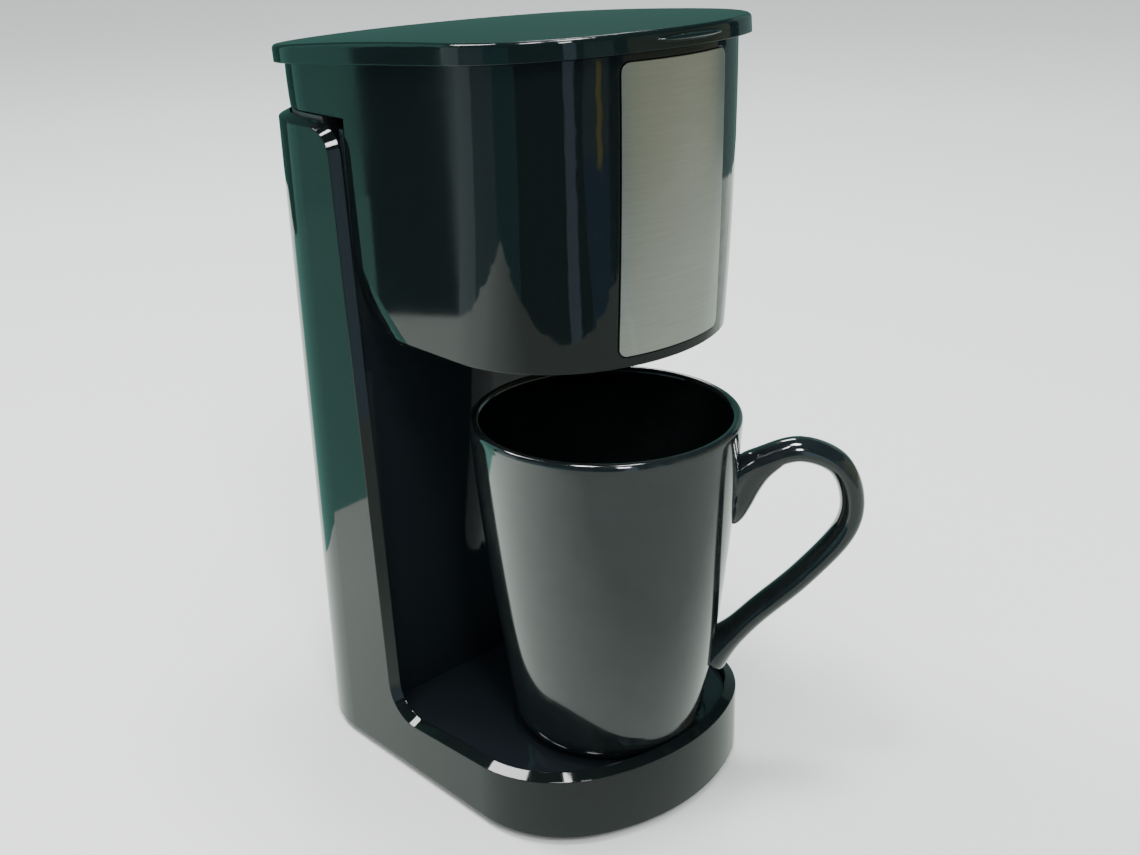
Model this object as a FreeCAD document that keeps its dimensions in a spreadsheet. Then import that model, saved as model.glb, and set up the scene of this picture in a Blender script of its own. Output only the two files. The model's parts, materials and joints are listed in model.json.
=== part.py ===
import FreeCAD, Part
import math
import os
import re
import Sketcher

# Single-serve drip coffee maker with its mug.
# Machine frame: X to the right seen from the front, Y to the rear, Z up, feet on Z = 0.
# Every node's Placement moves it by machine_x and machine_y, which puts the origin under
# the middle of the whole object, mug handle included.

doc = FreeCAD.newDocument("coffee_maker")
sheet = doc.addObject("Spreadsheet::Sheet", "Size")

SIZES = {
    # place of the machine's own axes in the part's frame
    "machine_x": -5.3,
    "machine_y": -8.2,
    # plan outline shared by the base skirt, the column and the lid
    "plan_half_width": 53.1,
    "plan_front": 56.3,
    "plan_rear": 94.7,
    "plan_front_radius": 70.0,
    "plan_shoulder_radius": 38.0,
    "plan_corner_radius": 34.0,
    "plan_rear_radius": 150.0,
    # oval outline at the bottom of the head
    "oval_half_width": 49.0,
    "oval_front": 50.5,
    "oval_rear": 60.0,
    "oval_front_radius": 62.0,
    "oval_shoulder_radius": 40.0,
    "oval_corner_radius": 44.0,
    "oval_rear_radius": 60.0,
    # body shell
    "flush": 0.0,
    "shell_wall": 3.6,
    "shell_bottom": 3.0,
    "shell_top": 225.0,
    "rim_height": 25.0,
    "rim_slope": 3.66,
    "column_edge": 31.0,
    "column_lean": 2.7,
    "rim_corner_radius": 9.0,
    "column_top_radius": 12.0,
    "bevel_in": 3.2,
    "bevel_along": 6.5,
    "boss_radius": 3.6,
    "boss_top": 22.0,
    "pilot_radius": 1.2,
    # cup platform and column panel
    "platform_inset": 3.9,
    "platform_rear": 39.6,
    "platform_floor": 17.0,
    "platform_top": 22.0,
    "cup_recess_radius": 33.0,
    "cup_recess_depth": 1.0,
    "panel_front": 40.0,
    "panel_thickness": 2.2,
    "panel_half_width": 49.2,
    "panel_bottom": 17.0,
    "panel_top": 222.0,
    # head
    "head_bottom": 159.8,
    "head_loft_top": 251.0,
    "head_inset": 4.0,
    "head_wall": 2.4,
    "head_rear": 39.7,
    "collar_bottom": 225.3,
    "collar_gap": 0.4,
    "partition_gap": 5.0,
    "cover_inset": 2.7,
    "cover_floor": 161.6,
    "cover_thickness": 2.4,
    # steel front plate
    "plate_proud": 0.3,
    "plate_depth": 0.5,
    "plate_seat": 0.6,
    "plate_half_width": 20.8,
    "plate_bottom": 163.2,
    "plate_top": 245.8,
    "plate_corner": 2.6,
    "plate_gap": 0.4,
    # brew parts, on a vertical axis
    "brew_y": -9.0,
    "holder_radius": 39.0,
    "holder_wall": 1.6,
    "holder_top": 236.0,
    "holder_shoulder": 196.0,
    "holder_throat": 170.0,
    "nozzle_radius": 8.0,
    "nozzle_bottom": 160.4,
    "nozzle_bore": 5.5,
    "basket_rim_radius": 36.9,
    "basket_rim_bottom": 233.2,
    "basket_top": 235.0,
    "basket_top_radius": 35.6,
    "basket_floor_radius": 27.0,
    "basket_floor": 190.0,
    "basket_wall": 1.8,
    "basket_drain_radius": 2.6,
    "basket_drain_pitch": 12.0,
    "mesh_top": 231.0,
    "mesh_top_radius": 32.6,
    "mesh_floor_radius": 24.4,
    "mesh_floor": 193.0,
    "mesh_thickness": 0.8,
    "ring_thickness": 2.0,
    "ring_radius": 32.8,
    "ring_bore": 30.6,
    "grip_radius": 29.5,
    "grip_wire": 0.9,
    "grip_lift": 236.2,
    "ring_post": 1.4,
    # water tank in the column
    "tank_inset": 4.4,
    "tank_front": 51.2,
    "tank_wall": 2.0,
    "tank_floor": 84.0,
    "tank_top": 224.8,
    "tank_outlet_y": 70.0,
    "tank_outlet_radius": 2.6,
    "strainer_radius": 9.0,
    "strainer_thickness": 1.6,
    "valve_radius": 7.5,
    "valve_height": 15.0,
    "valve_chamber_radius": 4.0,
    "valve_chamber": 8.0,
    "valve_bore": 2.5,
    "valve_spigot": 4.6,
    "ball_radius": 3.2,
    "hose_radius": 4.2,
    "hose_bore": 3.05,
    "hose_bend": 9.0,
    "clip_steel": 0.7,
    "clip_width": 3.0,
    # heater: a U of aluminium lying in the foot of the column
    "heater_front": 58.0,
    "heater_pitch": 22.0,
    "heater_turn": -26.0,
    "heater_end": 14.0,
    "heater_width": 11.0,
    "heater_floor": 24.0,
    "heater_height": 20.0,
    "water_tube_radius": 3.0,
    "water_tube_bore": 2.2,
    "water_tube_rise": 5.5,
    "water_tube_reach": 8.0,
    "element_radius": 3.3,
    "element_rise": 14.2,
    "element_reach": 6.0,
    "pin_radius": 1.3,
    "pin_reach": 4.0,
    "bracket_x": -16.0,
    "bracket_width": 14.0,
    "bracket_steel": 1.2,
    "thermostat_radius": 8.0,
    "thermostat_height": 6.0,
    "fuse_radius": 2.2,
    "fuse_length": 14.0,
    "fuse_x": -6.0,
    "fuse_y": 55.0,
    "fuse_z": 46.8,
    # riser and its outlet
    "riser_x": 0.0,
    "riser_y": 46.7,
    "riser_top": 219.4,
    "outlet_top": 236.6,
    "outlet_radius": 3.0,
    "outlet_flange": 4.2,
    "outlet_bore": 1.8,
    "seal_thickness": 0.8,
    # bottom
    "bottom_inset": 3.9,
    "bottom_floor": 3.0,
    "bottom_thickness": 2.4,
    "foot_radius": 7.0,
    "foot_height": 3.0,
    "foot_x": 36.0,
    "foot_front": -24.0,
    "foot_rear": 72.0,
    "screw_x": 30.0,
    "screw_front": -12.0,
    "screw_rear": 80.0,
    "screw_shank": 1.15,
    "screw_head": 2.6,
    "screw_length": 10.0,
    "vent_length": 30.0,
    "vent_width": 3.0,
    "vent_pitch": 8.0,
    "vent_x": 6.0,
    "vent_y": 42.0,
    "screw_sink": 1.4,
    # supply inlet, at the rear
    "inlet_x": 10.0,
    "inlet_z": 15.0,
    "gland_radius": 5.0,
    "gland_bore": 3.4,
    "gland_flange": 7.0,
    "gland_inner": 84.0,
    "gland_face": 1.5,
    "clamp_y": 78.0,
    "block_y": 26.0,
    "clamp_length": 18.0,
    "clamp_width": 8.0,
    "clamp_height": 6.0,
    "block_length": 26.0,
    "block_width": 12.0,
    "block_height": 9.0,
    "lead_radius": 1.1,
    "lead_bend": 2.5,
    # rocker switch on the right side
    "switch_y": 56.0,
    "switch_z": 62.0,
    "switch_length": 21.0,
    "switch_width": 15.0,
    "switch_bezel": 1.4,
    "switch_depth": 11.0,
    "rocker_length": 15.0,
    "rocker_width": 9.0,
    "rocker_thickness": 3.4,
    "rocker_tilt": 6.0,
    "rocker_pin": 1.0,
    "rocker_x": 52.0,
    # lid, in a plane that slopes down to the rear
    "lid_height": 244.6,
    "lid_slope": 4.27,
    "lid_thickness": 7.2,
    "lid_crown_radius": 1400.0,
    "lid_middle": 19.0,
    "lid_edge_radius": 1.4,
    "lid_rim": 4.6,
    "lid_skin": 3.3,
    "liner_inset": 7.4,
    "liner_wall": 1.8,
    "liner_drop": 4.0,
    "liner_thickness": 2.0,
    "tab_width": 26.0,
    "tab_reach": 2.4,
    "tab_thickness": 2.2,
    "tab_height": 2.6,
    "hinge_y": 92.4,
    "hinge_z": 234.6,
    "hinge_pin_radius": 1.2,
    "hinge_clearance": 0.06,
    "hinge_knuckle": 2.4,
    "hinge_span": 22.0,
    "knuckle_width": 6.0,
    "ear_rise": 4.2,
    "channel_width": 14.0,
    "channel_depth": 4.0,
    "channel_wall": 1.2,
    "channel_front": -16.0,
    "channel_rear": 53.0,
    "shower_radius": 16.0,
    "shower_thickness": 1.2,
    "shower_depth": 3.0,
    "shower_hole": 1.0,
    # mug
    "mug_y": -20.3,
    "mug_foot_z": 21.0,
    "mug_turn": -43.0,
    "mug_height": 112.6,
    "mug_rim_radius": 43.4,
    "mug_waist_radius": 38.9,
    "mug_waist": 58.0,
    "mug_heel_radius": 32.4,
    "mug_heel": 9.0,
    "mug_foot_radius": 27.0,
    "mug_wall": 3.4,
    "mug_floor": 6.0,
    "mug_foot_recess": 1.4,
    "handle_half_thickness": 4.0,
    "handle_half_width": 5.6,
    "handle_tail_x": 42.6,
    "handle_tail_z": 83.0,
    "handle_tail_length": 22.0,
}

for row, (alias, number) in enumerate(SIZES.items(), start=1):
    sheet.set(f"A{row}", alias)
    sheet.set(f"B{row}", str(number))
    sheet.setAlias(f"B{row}", alias)
doc.recompute()

NODES = {}


def size(alias):
    """The number that the sheet holds under an alias."""
    return float(sheet.get(alias))


def number(text):
    """The value of a sum or difference of aliases and plain numbers."""
    total = 0.0
    for sign, word in re.findall(r"([+-]?)\s*([a-z_]+|[\d.]+)", text):
        amount = size(word) if word in SIZES else float(word)
        total += -amount if sign == "-" else amount
    return total


def sized(text):
    """An expression over the sheet, from plain arithmetic on its aliases."""
    def cell(word):
        return "Size." + word.group() if word.group() in SIZES else word.group()

    return re.sub(r"[a-z]+(_[a-z]+)*", cell, str(text))


def bind(feature, **properties):
    """Bind a feature's properties to the sheet; a double underscore stands for a dot."""
    for name, text in properties.items():
        feature.setExpression(name.replace("__", "."), sized(text))


def put(feature, x=0, y=0, z=0):
    """Bind where a feature stands."""
    bind(feature, Placement__Base__x=x, Placement__Base__y=y, Placement__Base__z=z)
    return feature


def turn(feature, axis, angle):
    """Bind a turn about the feature's own origin; angle is arithmetic on the sheet."""
    feature.Placement = FreeCAD.Placement(feature.Placement.Base, FreeCAD.Rotation(axis, 1))
    bind(feature, Placement__Rotation__Angle=angle)
    return feature


def box(name, length, width, height, x, y, z):
    """A box centred on x and y, standing on z."""
    feature = doc.addObject("Part::Box", name)
    bind(feature, Length=length, Width=width, Height=height)
    return put(feature, f"{x} - ({length}) / 2", f"{y} - ({width}) / 2", z)


ALONG = {
    "x": FreeCAD.Rotation(FreeCAD.Vector(0, 0, 1), FreeCAD.Vector(1, 0, 0)),
    "y": FreeCAD.Rotation(FreeCAD.Vector(0, 0, 1), FreeCAD.Vector(0, 1, 0)),
    "z": FreeCAD.Rotation(),
}


def rod(name, radius, length, x, y, z, along="z"):
    """A cylinder that starts at a point and runs along an axis."""
    feature = doc.addObject("Part::Cylinder", name)
    feature.Placement.Rotation = ALONG[along]
    bind(feature, Radius=radius, Height=length)
    return put(feature, x, y, z)


def cut(name, base, *tools):
    feature = doc.addObject("Part::Cut", name)
    feature.Base = base
    feature.Tool = tools[0] if len(tools) == 1 else fuse(name + "_tools", *tools)
    return feature


def fuse(name, *shapes):
    feature = doc.addObject("Part::MultiFuse", name)
    feature.Shapes = list(shapes)
    return feature


def common(name, *shapes):
    feature = doc.addObject("Part::MultiCommon", name)
    feature.Shapes = list(shapes)
    return feature


def tube(name, radius, bore, length, x, y, z, along="z"):
    outer = rod(name + "_outer", radius, length, x, y, z, along)
    inner = rod(name + "_bore", bore, length, x, y, z, along)
    return cut(name, outer, inner)


def node(name, feature, y=0, x=0):
    """Name a finished sub-part and place it in the part's frame, at a machine x and y."""
    feature.Label = name
    bind(feature, Placement__Base__x=f"machine_x + {x}", Placement__Base__y=f"machine_y + {y}")
    NODES[name] = feature
    return feature


# ---------------------------------------------------------------- outlines


def plane(body, role):
    return next(item for item in body.Origin.OriginFeatures if item.Role == role)


def sketch(body, name, role="XY_Plane", height=None):
    """A sketch on one of a body's origin planes, raised by arithmetic on the sheet."""
    drawing = body.newObject("Sketcher::SketchObject", name)
    drawing.AttachmentSupport = [(plane(body, role), "")]
    drawing.MapMode = "FlatFace"
    if height is not None:
        bind(drawing, AttachmentOffset__Base__z=height)
    return drawing


def rule(drawing, name, text, *constraint):
    """Add a named dimension to a sketch and bind it."""
    index = drawing.addConstraint(Sketcher.Constraint(*constraint))
    drawing.renameConstraint(index, name)
    drawing.setExpression("Constraints." + name, sized(text))


def outline(drawing, family, inset, tag=""):
    """Draw the closed outline of a family (plan or oval), moved in by an inset.

    It is a front arc, two shoulders, two straight sides, two rear corners and a rear arc, all tangent.
    """
    by = number(inset)
    half, front, rear = (size(f"{family}_{part}") for part in ("half_width", "front", "rear"))
    radii = {part: size(f"{family}_{part}_radius") for part in ("front", "shoulder", "corner", "rear")}
    front_y = radii["front"] - front
    rear_y = rear - radii["rear"]
    shoulder_x = half - radii["shoulder"]
    corner_x = half - radii["corner"]
    shoulder_y = front_y - math.sqrt((radii["front"] - radii["shoulder"]) ** 2 - shoulder_x ** 2)
    corner_y = rear_y + math.sqrt((radii["rear"] - radii["corner"]) ** 2 - corner_x ** 2)
    low = math.atan2(shoulder_y - front_y, shoulder_x)
    high = math.atan2(corner_y - rear_y, corner_x)
    arcs = (
        ("front", 0, front_y, math.pi - low, 2 * math.pi + low),
        ("shoulder", shoulder_x, shoulder_y, low, 0),
        ("side", half - by, shoulder_y, half - by, corner_y),
        ("corner", corner_x, corner_y, 0, high),
        ("rear", 0, rear_y, high, math.pi - high),
        ("corner", -corner_x, corner_y, math.pi - high, math.pi),
        ("side", by - half, corner_y, by - half, shoulder_y),
        ("shoulder", -shoulder_x, shoulder_y, math.pi, math.pi - low),
    )
    first = drawing.GeometryCount
    for kind, x, y, start, end in arcs:
        if kind == "side":
            drawing.addGeometry(Part.LineSegment(FreeCAD.Vector(x, y), FreeCAD.Vector(start, end)))
        else:
            circle = Part.Circle(FreeCAD.Vector(x, y), FreeCAD.Vector(0, 0, 1), radii[kind] - by)
            drawing.addGeometry(Part.ArcOfCircle(circle, start, end))
    for step in range(8):
        here, following = first + step, first + (step + 1) % 8
        drawing.addConstraint(Sketcher.Constraint("Tangent", here, 2, following, 1))
    for step in (0, 4):
        drawing.addConstraint(Sketcher.Constraint("PointOnObject", first + step, 3, -2))
    for step in (2, 6):
        drawing.addConstraint(Sketcher.Constraint("Vertical", first + step))
    for step, kind in ((0, "front"), (1, "shoulder"), (3, "corner"), (4, "rear"), (5, "corner"),
                       (7, "shoulder")):
        rule(drawing, f"{tag}radius_{step}", f"{family}_{kind}_radius - ({inset})", "Radius", first + step,
             radii[kind] - by)
    rule(drawing, tag + "right", f"{family}_half_width - ({inset})", "DistanceX", -1, 1, first + 2, 1,
         half - by)
    rule(drawing, tag + "left", f"{family}_half_width - ({inset})", "DistanceX", first + 6, 1, -1, 1,
         half - by)
    if front_y > 0:
        rule(drawing, tag + "front_centre", f"{family}_front_radius - {family}_front", "DistanceY", -1, 1,
             first, 3,
             front_y)
    if rear_y < 0:
        rule(drawing, tag + "rear_centre", f"{family}_rear_radius - {family}_rear", "DistanceY", first + 4,
             3, -1, 1,
             -rear_y)
    else:
        drawing.addConstraint(Sketcher.Constraint("PointOnObject", first + 4, 3, -1))


def slab(name, family, insets, bottom, height):
    """A pad of an outline; a second inset makes it a ring."""
    body = doc.addObject("PartDesign::Body", name)
    drawing = sketch(body, name + "_outline", height=bottom)
    for index, inset in enumerate(insets):
        outline(drawing, family, inset, "" if index == 0 else "inner_")
    pad = body.newObject("PartDesign::Pad", name + "_pad")
    pad.Profile = drawing
    bind(pad, Length=height)
    return body


def turned(name, points, y):
    """A solid turned about a vertical line at y, from the points (radius, height) of its profile."""
    body = doc.addObject("PartDesign::Body", name)
    drawing = sketch(body, name + "_profile", "XZ_Plane")
    for start, end in zip(points, points[1:] + points[:1]):
        drawing.addGeometry(Part.LineSegment(FreeCAD.Vector(*start), FreeCAD.Vector(*end)))
    revolution = body.newObject("PartDesign::Revolution", name + "_turn")
    revolution.Profile = drawing
    revolution.ReferenceAxis = (drawing, ["V_Axis"])
    revolution.Angle = 360
    return put(body, 0, y, 0)


# ---------------------------------------------------------------- body shell, platform, panel


def side_cutter():
    """What is cut away in front of the column: the side view of the opening, through X."""
    lean = math.radians(size("column_lean"))
    slope = math.radians(size("rim_slope"))
    inner = size("rim_corner_radius")
    outer = size("column_top_radius")
    top = size("shell_top")
    reach = 90.0
    corner = FreeCAD.Vector(size("column_edge"), size("rim_height") - size("column_edge") * math.tan(slope))
    along_rim = FreeCAD.Vector(-math.cos(slope), math.sin(slope))
    up_column = FreeCAD.Vector(math.sin(lean), math.cos(lean))
    setback = inner / math.tan((math.pi / 2 + lean - slope) / 2)
    shoulder = corner + up_column * ((top - corner.y) / up_column.y)
    ease = outer * math.tan((math.pi / 2 - lean) / 2)
    rim_end = corner + along_rim * setback
    column_start = corner + up_column * setback
    column_end = shoulder - up_column * ease
    top_start = shoulder + FreeCAD.Vector(ease, 0)
    inner_centre = column_start + FreeCAD.Vector(-math.cos(lean), math.sin(lean)) * inner
    outer_centre = top_start - FreeCAD.Vector(0, outer)
    inner_mid = inner_centre + (corner - inner_centre).normalize() * inner
    outer_mid = outer_centre + (shoulder - outer_centre).normalize() * outer
    body = doc.addObject("PartDesign::Body", "side_cutter")
    drawing = sketch(body, "side_cutter_profile", "YZ_Plane")
    path = [
        Part.LineSegment(corner + along_rim * reach, rim_end),
        Part.Arc(rim_end, inner_mid, column_start),
        Part.LineSegment(column_start, column_end),
        Part.Arc(column_end, outer_mid, top_start),
        Part.LineSegment(top_start, top_start + FreeCAD.Vector(0, reach)),
        Part.LineSegment(top_start + FreeCAD.Vector(0, reach),
                         corner + along_rim * reach + FreeCAD.Vector(0, 2 * top)),
        Part.LineSegment(corner + along_rim * reach + FreeCAD.Vector(0, 2 * top),
                         corner + along_rim * reach),
    ]
    drawing.addGeometry(path)
    pad = body.newObject("PartDesign::Pad", "side_cutter_pad")
    pad.Profile = drawing
    pad.Midplane = True
    bind(pad, Length="plan_half_width * 3")
    return body


def rim_edges(shape, block):
    """The opening's outer edges: on the plan outline's walls, and neither upright nor at the foot."""
    walls = Part.makeCompound([face for face in block.Faces if abs(face.normalAt(*middle(face)).z) < 0.5])
    chosen = []
    for index, edge in enumerate(shape.Edges, start=1):
        at = (edge.FirstParameter + edge.LastParameter) / 2
        upright = abs(edge.tangentAt(at).z) > 0.99999
        if upright or edge.valueAt(at).z < size("shell_bottom") + 1:
            continue
        if Part.Vertex(edge.valueAt(at)).distToShape(walls)[0] < 0.01:
            chosen.append(index)
    return chosen


def middle(face):
    low_u, high_u, low_v, high_v = face.ParameterRange
    return (low_u + high_u) / 2, (low_v + high_v) / 2


def body_shell():
    """The moulding that wraps the column and the base, with its bevelled opening, bosses and holes."""
    block = slab("shell_block", "plan", ["flush"], "shell_bottom", "shell_top - shell_bottom")
    opened = cut("shell_open", block, side_cutter())
    doc.recompute()
    bevel = doc.addObject("Part::Chamfer", "shell_bevel")
    bevel.Base = opened
    bevel.Edges = [(index, size("bevel_in"), size("bevel_along"))
                   for index in rim_edges(opened.Shape, block.Shape)]
    cavity = slab("shell_cavity", "plan", ["shell_wall"], "shell_bottom - 1", "shell_top + 2")
    hollow = cut("shell_hollow", bevel, cavity)
    bosses = []
    pilots = []
    for side, sign in (("left", "-"), ("right", "")):
        boss = rod(f"shell_boss_{side}", "boss_radius", "boss_top - bottom_floor - bottom_thickness",
                   f"{sign}screw_x", "screw_rear", "bottom_floor + bottom_thickness")
        rib = box(f"shell_rib_{side}", 2, "plan_rear - screw_rear - 3",
                  "boss_top - bottom_floor - bottom_thickness",
                  f"{sign}screw_x", "(plan_rear + screw_rear - 5) / 2", "bottom_floor + bottom_thickness")
        bosses += [boss, rib]
        pilots.append(rod(f"shell_pilot_{side}", "pilot_radius", "screw_length + 1", f"{sign}screw_x",
                          "screw_rear", "bottom_floor + bottom_thickness"))
    bosses = common("shell_bosses", fuse("shell_boss_group", *bosses),
                    slab("shell_boss_limit", "plan", ["shell_wall - 1"], "shell_bottom", "boss_top"))
    bossed = fuse("shell_bossed", hollow, bosses)
    gland_hole = rod("shell_gland_hole", "gland_radius + 0.1", 20, "inlet_x", "plan_rear - 15", "inlet_z",
                     "y")
    switch_hole = box("shell_switch_hole", 20, "switch_width - 3", "switch_length - 3", "plan_half_width",
                      "switch_y", "switch_z - (switch_length - 3) / 2")
    return cut("shell_finished", bossed, gland_hole, switch_hole, *pilots)


def cup_platform():
    """The deck that the mug stands on, with a shallow round seat and two screw bosses below."""
    deck = slab("platform_deck", "plan", ["platform_inset"], "platform_floor",
                "platform_top - platform_floor")
    behind = box("platform_behind", 140, 100, 40, 0, "platform_rear + 50", 0)
    seat = rod("platform_seat", "cup_recess_radius", 10, 0, "mug_y", "platform_top - cup_recess_depth")
    bosses = []
    pilots = []
    for side, sign in (("left", "-"), ("right", "")):
        bosses.append(rod(f"platform_boss_{side}", "boss_radius",
                          "platform_floor - bottom_floor - bottom_thickness",
                          f"{sign}screw_x", "screw_front", "bottom_floor + bottom_thickness"))
        pilots.append(rod(f"platform_pilot_{side}", "pilot_radius", "screw_length + 1", f"{sign}screw_x",
                          "screw_front", "bottom_floor + bottom_thickness"))
    return cut("platform_finished", fuse("platform_bossed", cut("platform_seated", deck, behind, seat),
                                         *bosses),
               *pilots)


def column_panel():
    """The upright panel between the column's edges, behind the mug."""
    sheet_metal = box("panel_blank", "2 * panel_half_width", "panel_thickness", "panel_top - panel_bottom",
                      0,
                      "panel_front + panel_thickness / 2", "panel_bottom")
    foot = box("panel_foot", "2 * panel_half_width - 14", 7, 2.4, 0, "panel_front + panel_thickness + 3.4",
               "panel_bottom")
    return fuse("panel_finished", sheet_metal, foot)


# ---------------------------------------------------------------- head


def head_loft(name, inset):
    """The head's tapered form: plan outline above, oval outline below, both moved in by an inset."""
    body = doc.addObject("PartDesign::Body", name)
    lower = sketch(body, name + "_oval", height="head_bottom")
    outline(lower, "oval", inset)
    sections = []
    for level in ("collar_bottom", "head_loft_top"):
        drawing = sketch(body, f"{name}_{level}", height=level)
        outline(drawing, "plan", f"head_inset + {inset}")
        sections.append(drawing)
    loft = body.newObject("PartDesign::AdditiveLoft", name + "_loft")
    loft.Profile = lower
    loft.Sections = sections
    return body


def above_lid_line(name, gap):
    """A large block over the lid's sloping lower plane, used to trim what stands under the lid."""
    block = doc.addObject("Part::Box", name)
    block.Length = 300
    block.Width = 300
    block.Height = 60
    block.Placement = FreeCAD.Placement(FreeCAD.Vector(-150, -150, 0),
                                        FreeCAD.Rotation(FreeCAD.Vector(1, 0, 0), -1))
    bind(block, Placement__Rotation__Angle="-lid_slope",
         Placement__Base__z=f"lid_height - ({gap}) + 150 * tan(lid_slope)")
    return block


def rounded_plate(name, half_width, bottom, top, corner):
    """A rectangle with round corners in the front view, padded through the front of the head."""
    half, low, high, round_by = (number(text) for text in (half_width, bottom, top, corner))
    body = doc.addObject("PartDesign::Body", name)
    drawing = sketch(body, name + "_profile", "XZ_Plane")
    corners = ((half - round_by, high - round_by, 0), (round_by - half, high - round_by, 90),
               (round_by - half, low + round_by, 180), (half - round_by, low + round_by, 270))
    ends = []
    for x, z, start in corners:
        arc = Part.ArcOfCircle(Part.Circle(FreeCAD.Vector(x, z), FreeCAD.Vector(0, 0, 1), round_by),
                               math.radians(start), math.radians(start + 90))
        drawing.addGeometry(arc)
        ends.append((arc.StartPoint, arc.EndPoint))
    for (_, leave), (reach, _) in zip(ends, ends[1:] + ends[:1]):
        drawing.addGeometry(Part.LineSegment(leave, reach))
    pad = body.newObject("PartDesign::Pad", name + "_pad")
    pad.Profile = drawing
    bind(pad, Length="plan_front + 10")
    return body


def head_housing():
    """The bucket under the lid, with the collar that runs round the top of the column."""
    outer = head_loft("head_outer", "flush")
    inner = head_loft("head_inner", "head_wall")
    wall = cut("head_wall_ring", outer, inner)
    rear_wall = box("head_rear_wall", 140, "head_wall", 120, 0, "head_rear - head_wall / 2", "head_bottom")
    partition = common("head_partition", head_loft("head_partition_form", "flush"), rear_wall)
    behind = box("head_behind", 140, 100, "collar_bottom - head_bottom + 20", 0, "head_rear + 50",
                 "head_bottom - 20")
    seat = cut("head_plate_seat", head_loft("seat_outer", "0 - plate_proud - 1"),
               head_loft("seat_inner", "plate_seat"))
    window = rounded_plate("seat_window", "plate_half_width + plate_gap", "plate_bottom - plate_gap",
                           "plate_top + plate_gap", "plate_corner + plate_gap")
    pocket = common("head_plate_pocket", seat, window)
    low_partition = cut("head_low_partition", partition, above_lid_line("head_partition_trim",
                                                                        "partition_gap"))
    trimmed = cut("head_trimmed", fuse("head_joined", wall, low_partition), behind,
                  above_lid_line("head_top_trim", "collar_gap"), pocket)
    knuckles = [
        rod(f"head_knuckle_{side}", "hinge_knuckle", "knuckle_width", f"{sign} - knuckle_width / 2",
            "hinge_y", "hinge_z", "x")
        for side, sign in (("left", "-hinge_span"), ("right", "hinge_span"))
    ]
    arms = [
        box(f"head_arm_{side}", "knuckle_width", 4, 3.4, sign, "hinge_y - 2", "hinge_z - 2.4")
        for side, sign in (("left", "-hinge_span"), ("right", "hinge_span"))
    ]
    clear = head_loft("head_arm_limit", "head_wall")
    lugs = cut("head_lugs", fuse("head_lug_group", *knuckles, *arms), clear)
    pin_hole = rod("head_pin_hole", "hinge_pin_radius + hinge_clearance", 80, -40, "hinge_y", "hinge_z",
                   "x")
    return cut("head_finished", fuse("head_with_lugs", trimmed, lugs), pin_hole)


def front_plate():
    """The curved steel plate let into the front of the head."""
    skin = cut("plate_skin", head_loft("plate_outer", "0 - plate_proud"),
               head_loft("plate_inner", "plate_depth"))
    window = rounded_plate("plate_window", "plate_half_width", "plate_bottom", "plate_top", "plate_corner")
    return common("plate_finished", skin, window)


def head_cover():
    """The floor of the head, with the hole that the drip nozzle comes through."""
    disc = slab("cover_disc", "oval", ["cover_inset"], "cover_floor", "cover_thickness")
    behind = box("cover_behind", 140, 60, 20, 0, "head_rear - head_wall - 0.2 + 30", "cover_floor - 5")
    hole = rod("cover_hole", "nozzle_radius + 0.6", 20, 0, "brew_y", "cover_floor - 5")
    return cut("cover_finished", disc, behind, hole)


# ---------------------------------------------------------------- brew parts


def basket_holder():
    """The funnel fixed in the head: a cup for the basket that narrows to the drip nozzle."""
    radius, wall, top = size("holder_radius"), size("holder_wall"), size("holder_top")
    shoulder, throat = size("holder_shoulder"), size("holder_throat")
    nozzle, bore, tip = size("nozzle_radius"), size("nozzle_bore"), size("nozzle_bottom")
    return turned("holder_finished", [
        (radius, top), (radius, shoulder), (nozzle, throat), (nozzle, tip), (bore, tip),
        (bore, throat + wall), (radius - wall, shoulder + wall), (radius - wall, top),
    ], "brew_y")


def filter_basket():
    """The lift-out cup that carries the filter, with a rim and drain holes in its floor."""
    rim, low, top = size("basket_rim_radius"), size("basket_rim_bottom"), size("basket_top")
    upper, lower, floor, wall = (size("basket_top_radius"), size("basket_floor_radius"),
                                 size("basket_floor"),
                                 size("basket_wall"))
    cup = turned("basket_cup", [
        (rim, top), (rim, low), (upper, low), (lower, floor), (0, floor), (0, floor + wall),
        (lower - wall, floor + wall), (upper - wall, top),
    ], "brew_y")
    drains = [rod("basket_drain_centre", "basket_drain_radius", 10, 0, "brew_y", "basket_floor - 4")]
    pitch = size("basket_drain_pitch")
    for step in range(6):
        x, y = pitch * math.cos(step * math.pi / 3), pitch * math.sin(step * math.pi / 3)
        drains.append(rod(f"basket_drain_{step}", "basket_drain_radius", 10, round(x, 3),
                          f"brew_y + {y:.3f}",
                          "basket_floor - 4"))
    return cut("basket_finished", cup, *drains)


def mesh_filter():
    """The fine mesh cup inside the basket."""
    upper, lower = size("mesh_top_radius"), size("mesh_floor_radius")
    floor, top, skin = size("mesh_floor"), size("mesh_top"), size("mesh_thickness")
    return turned("mesh_finished", [
        (upper, top), (lower, floor), (0, floor), (0, floor + skin), (lower - skin, floor + skin),
        (upper - skin, top),
    ], "brew_y")


def grip_wire():
    """The bail of the filter: a half ring of wire that lies on the rim and swings up."""
    ring = doc.addObject("Part::Torus", "grip_ring")
    bind(ring, Radius1="grip_radius", Radius2="grip_wire")
    put(ring, 0, "brew_y", "grip_lift")
    half = box("grip_half", 100, 60, 20, 0, "brew_y - 30", "grip_lift - 10")
    pins = [
        rod(f"grip_pin_{side}", "grip_wire", 3, start, "brew_y", "grip_lift", "x")
        for side, start in (("left", "-grip_radius - 3"), ("right", "grip_radius"))
    ]
    return fuse("grip_finished", common("grip_bow", ring, half), *pins)


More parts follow.
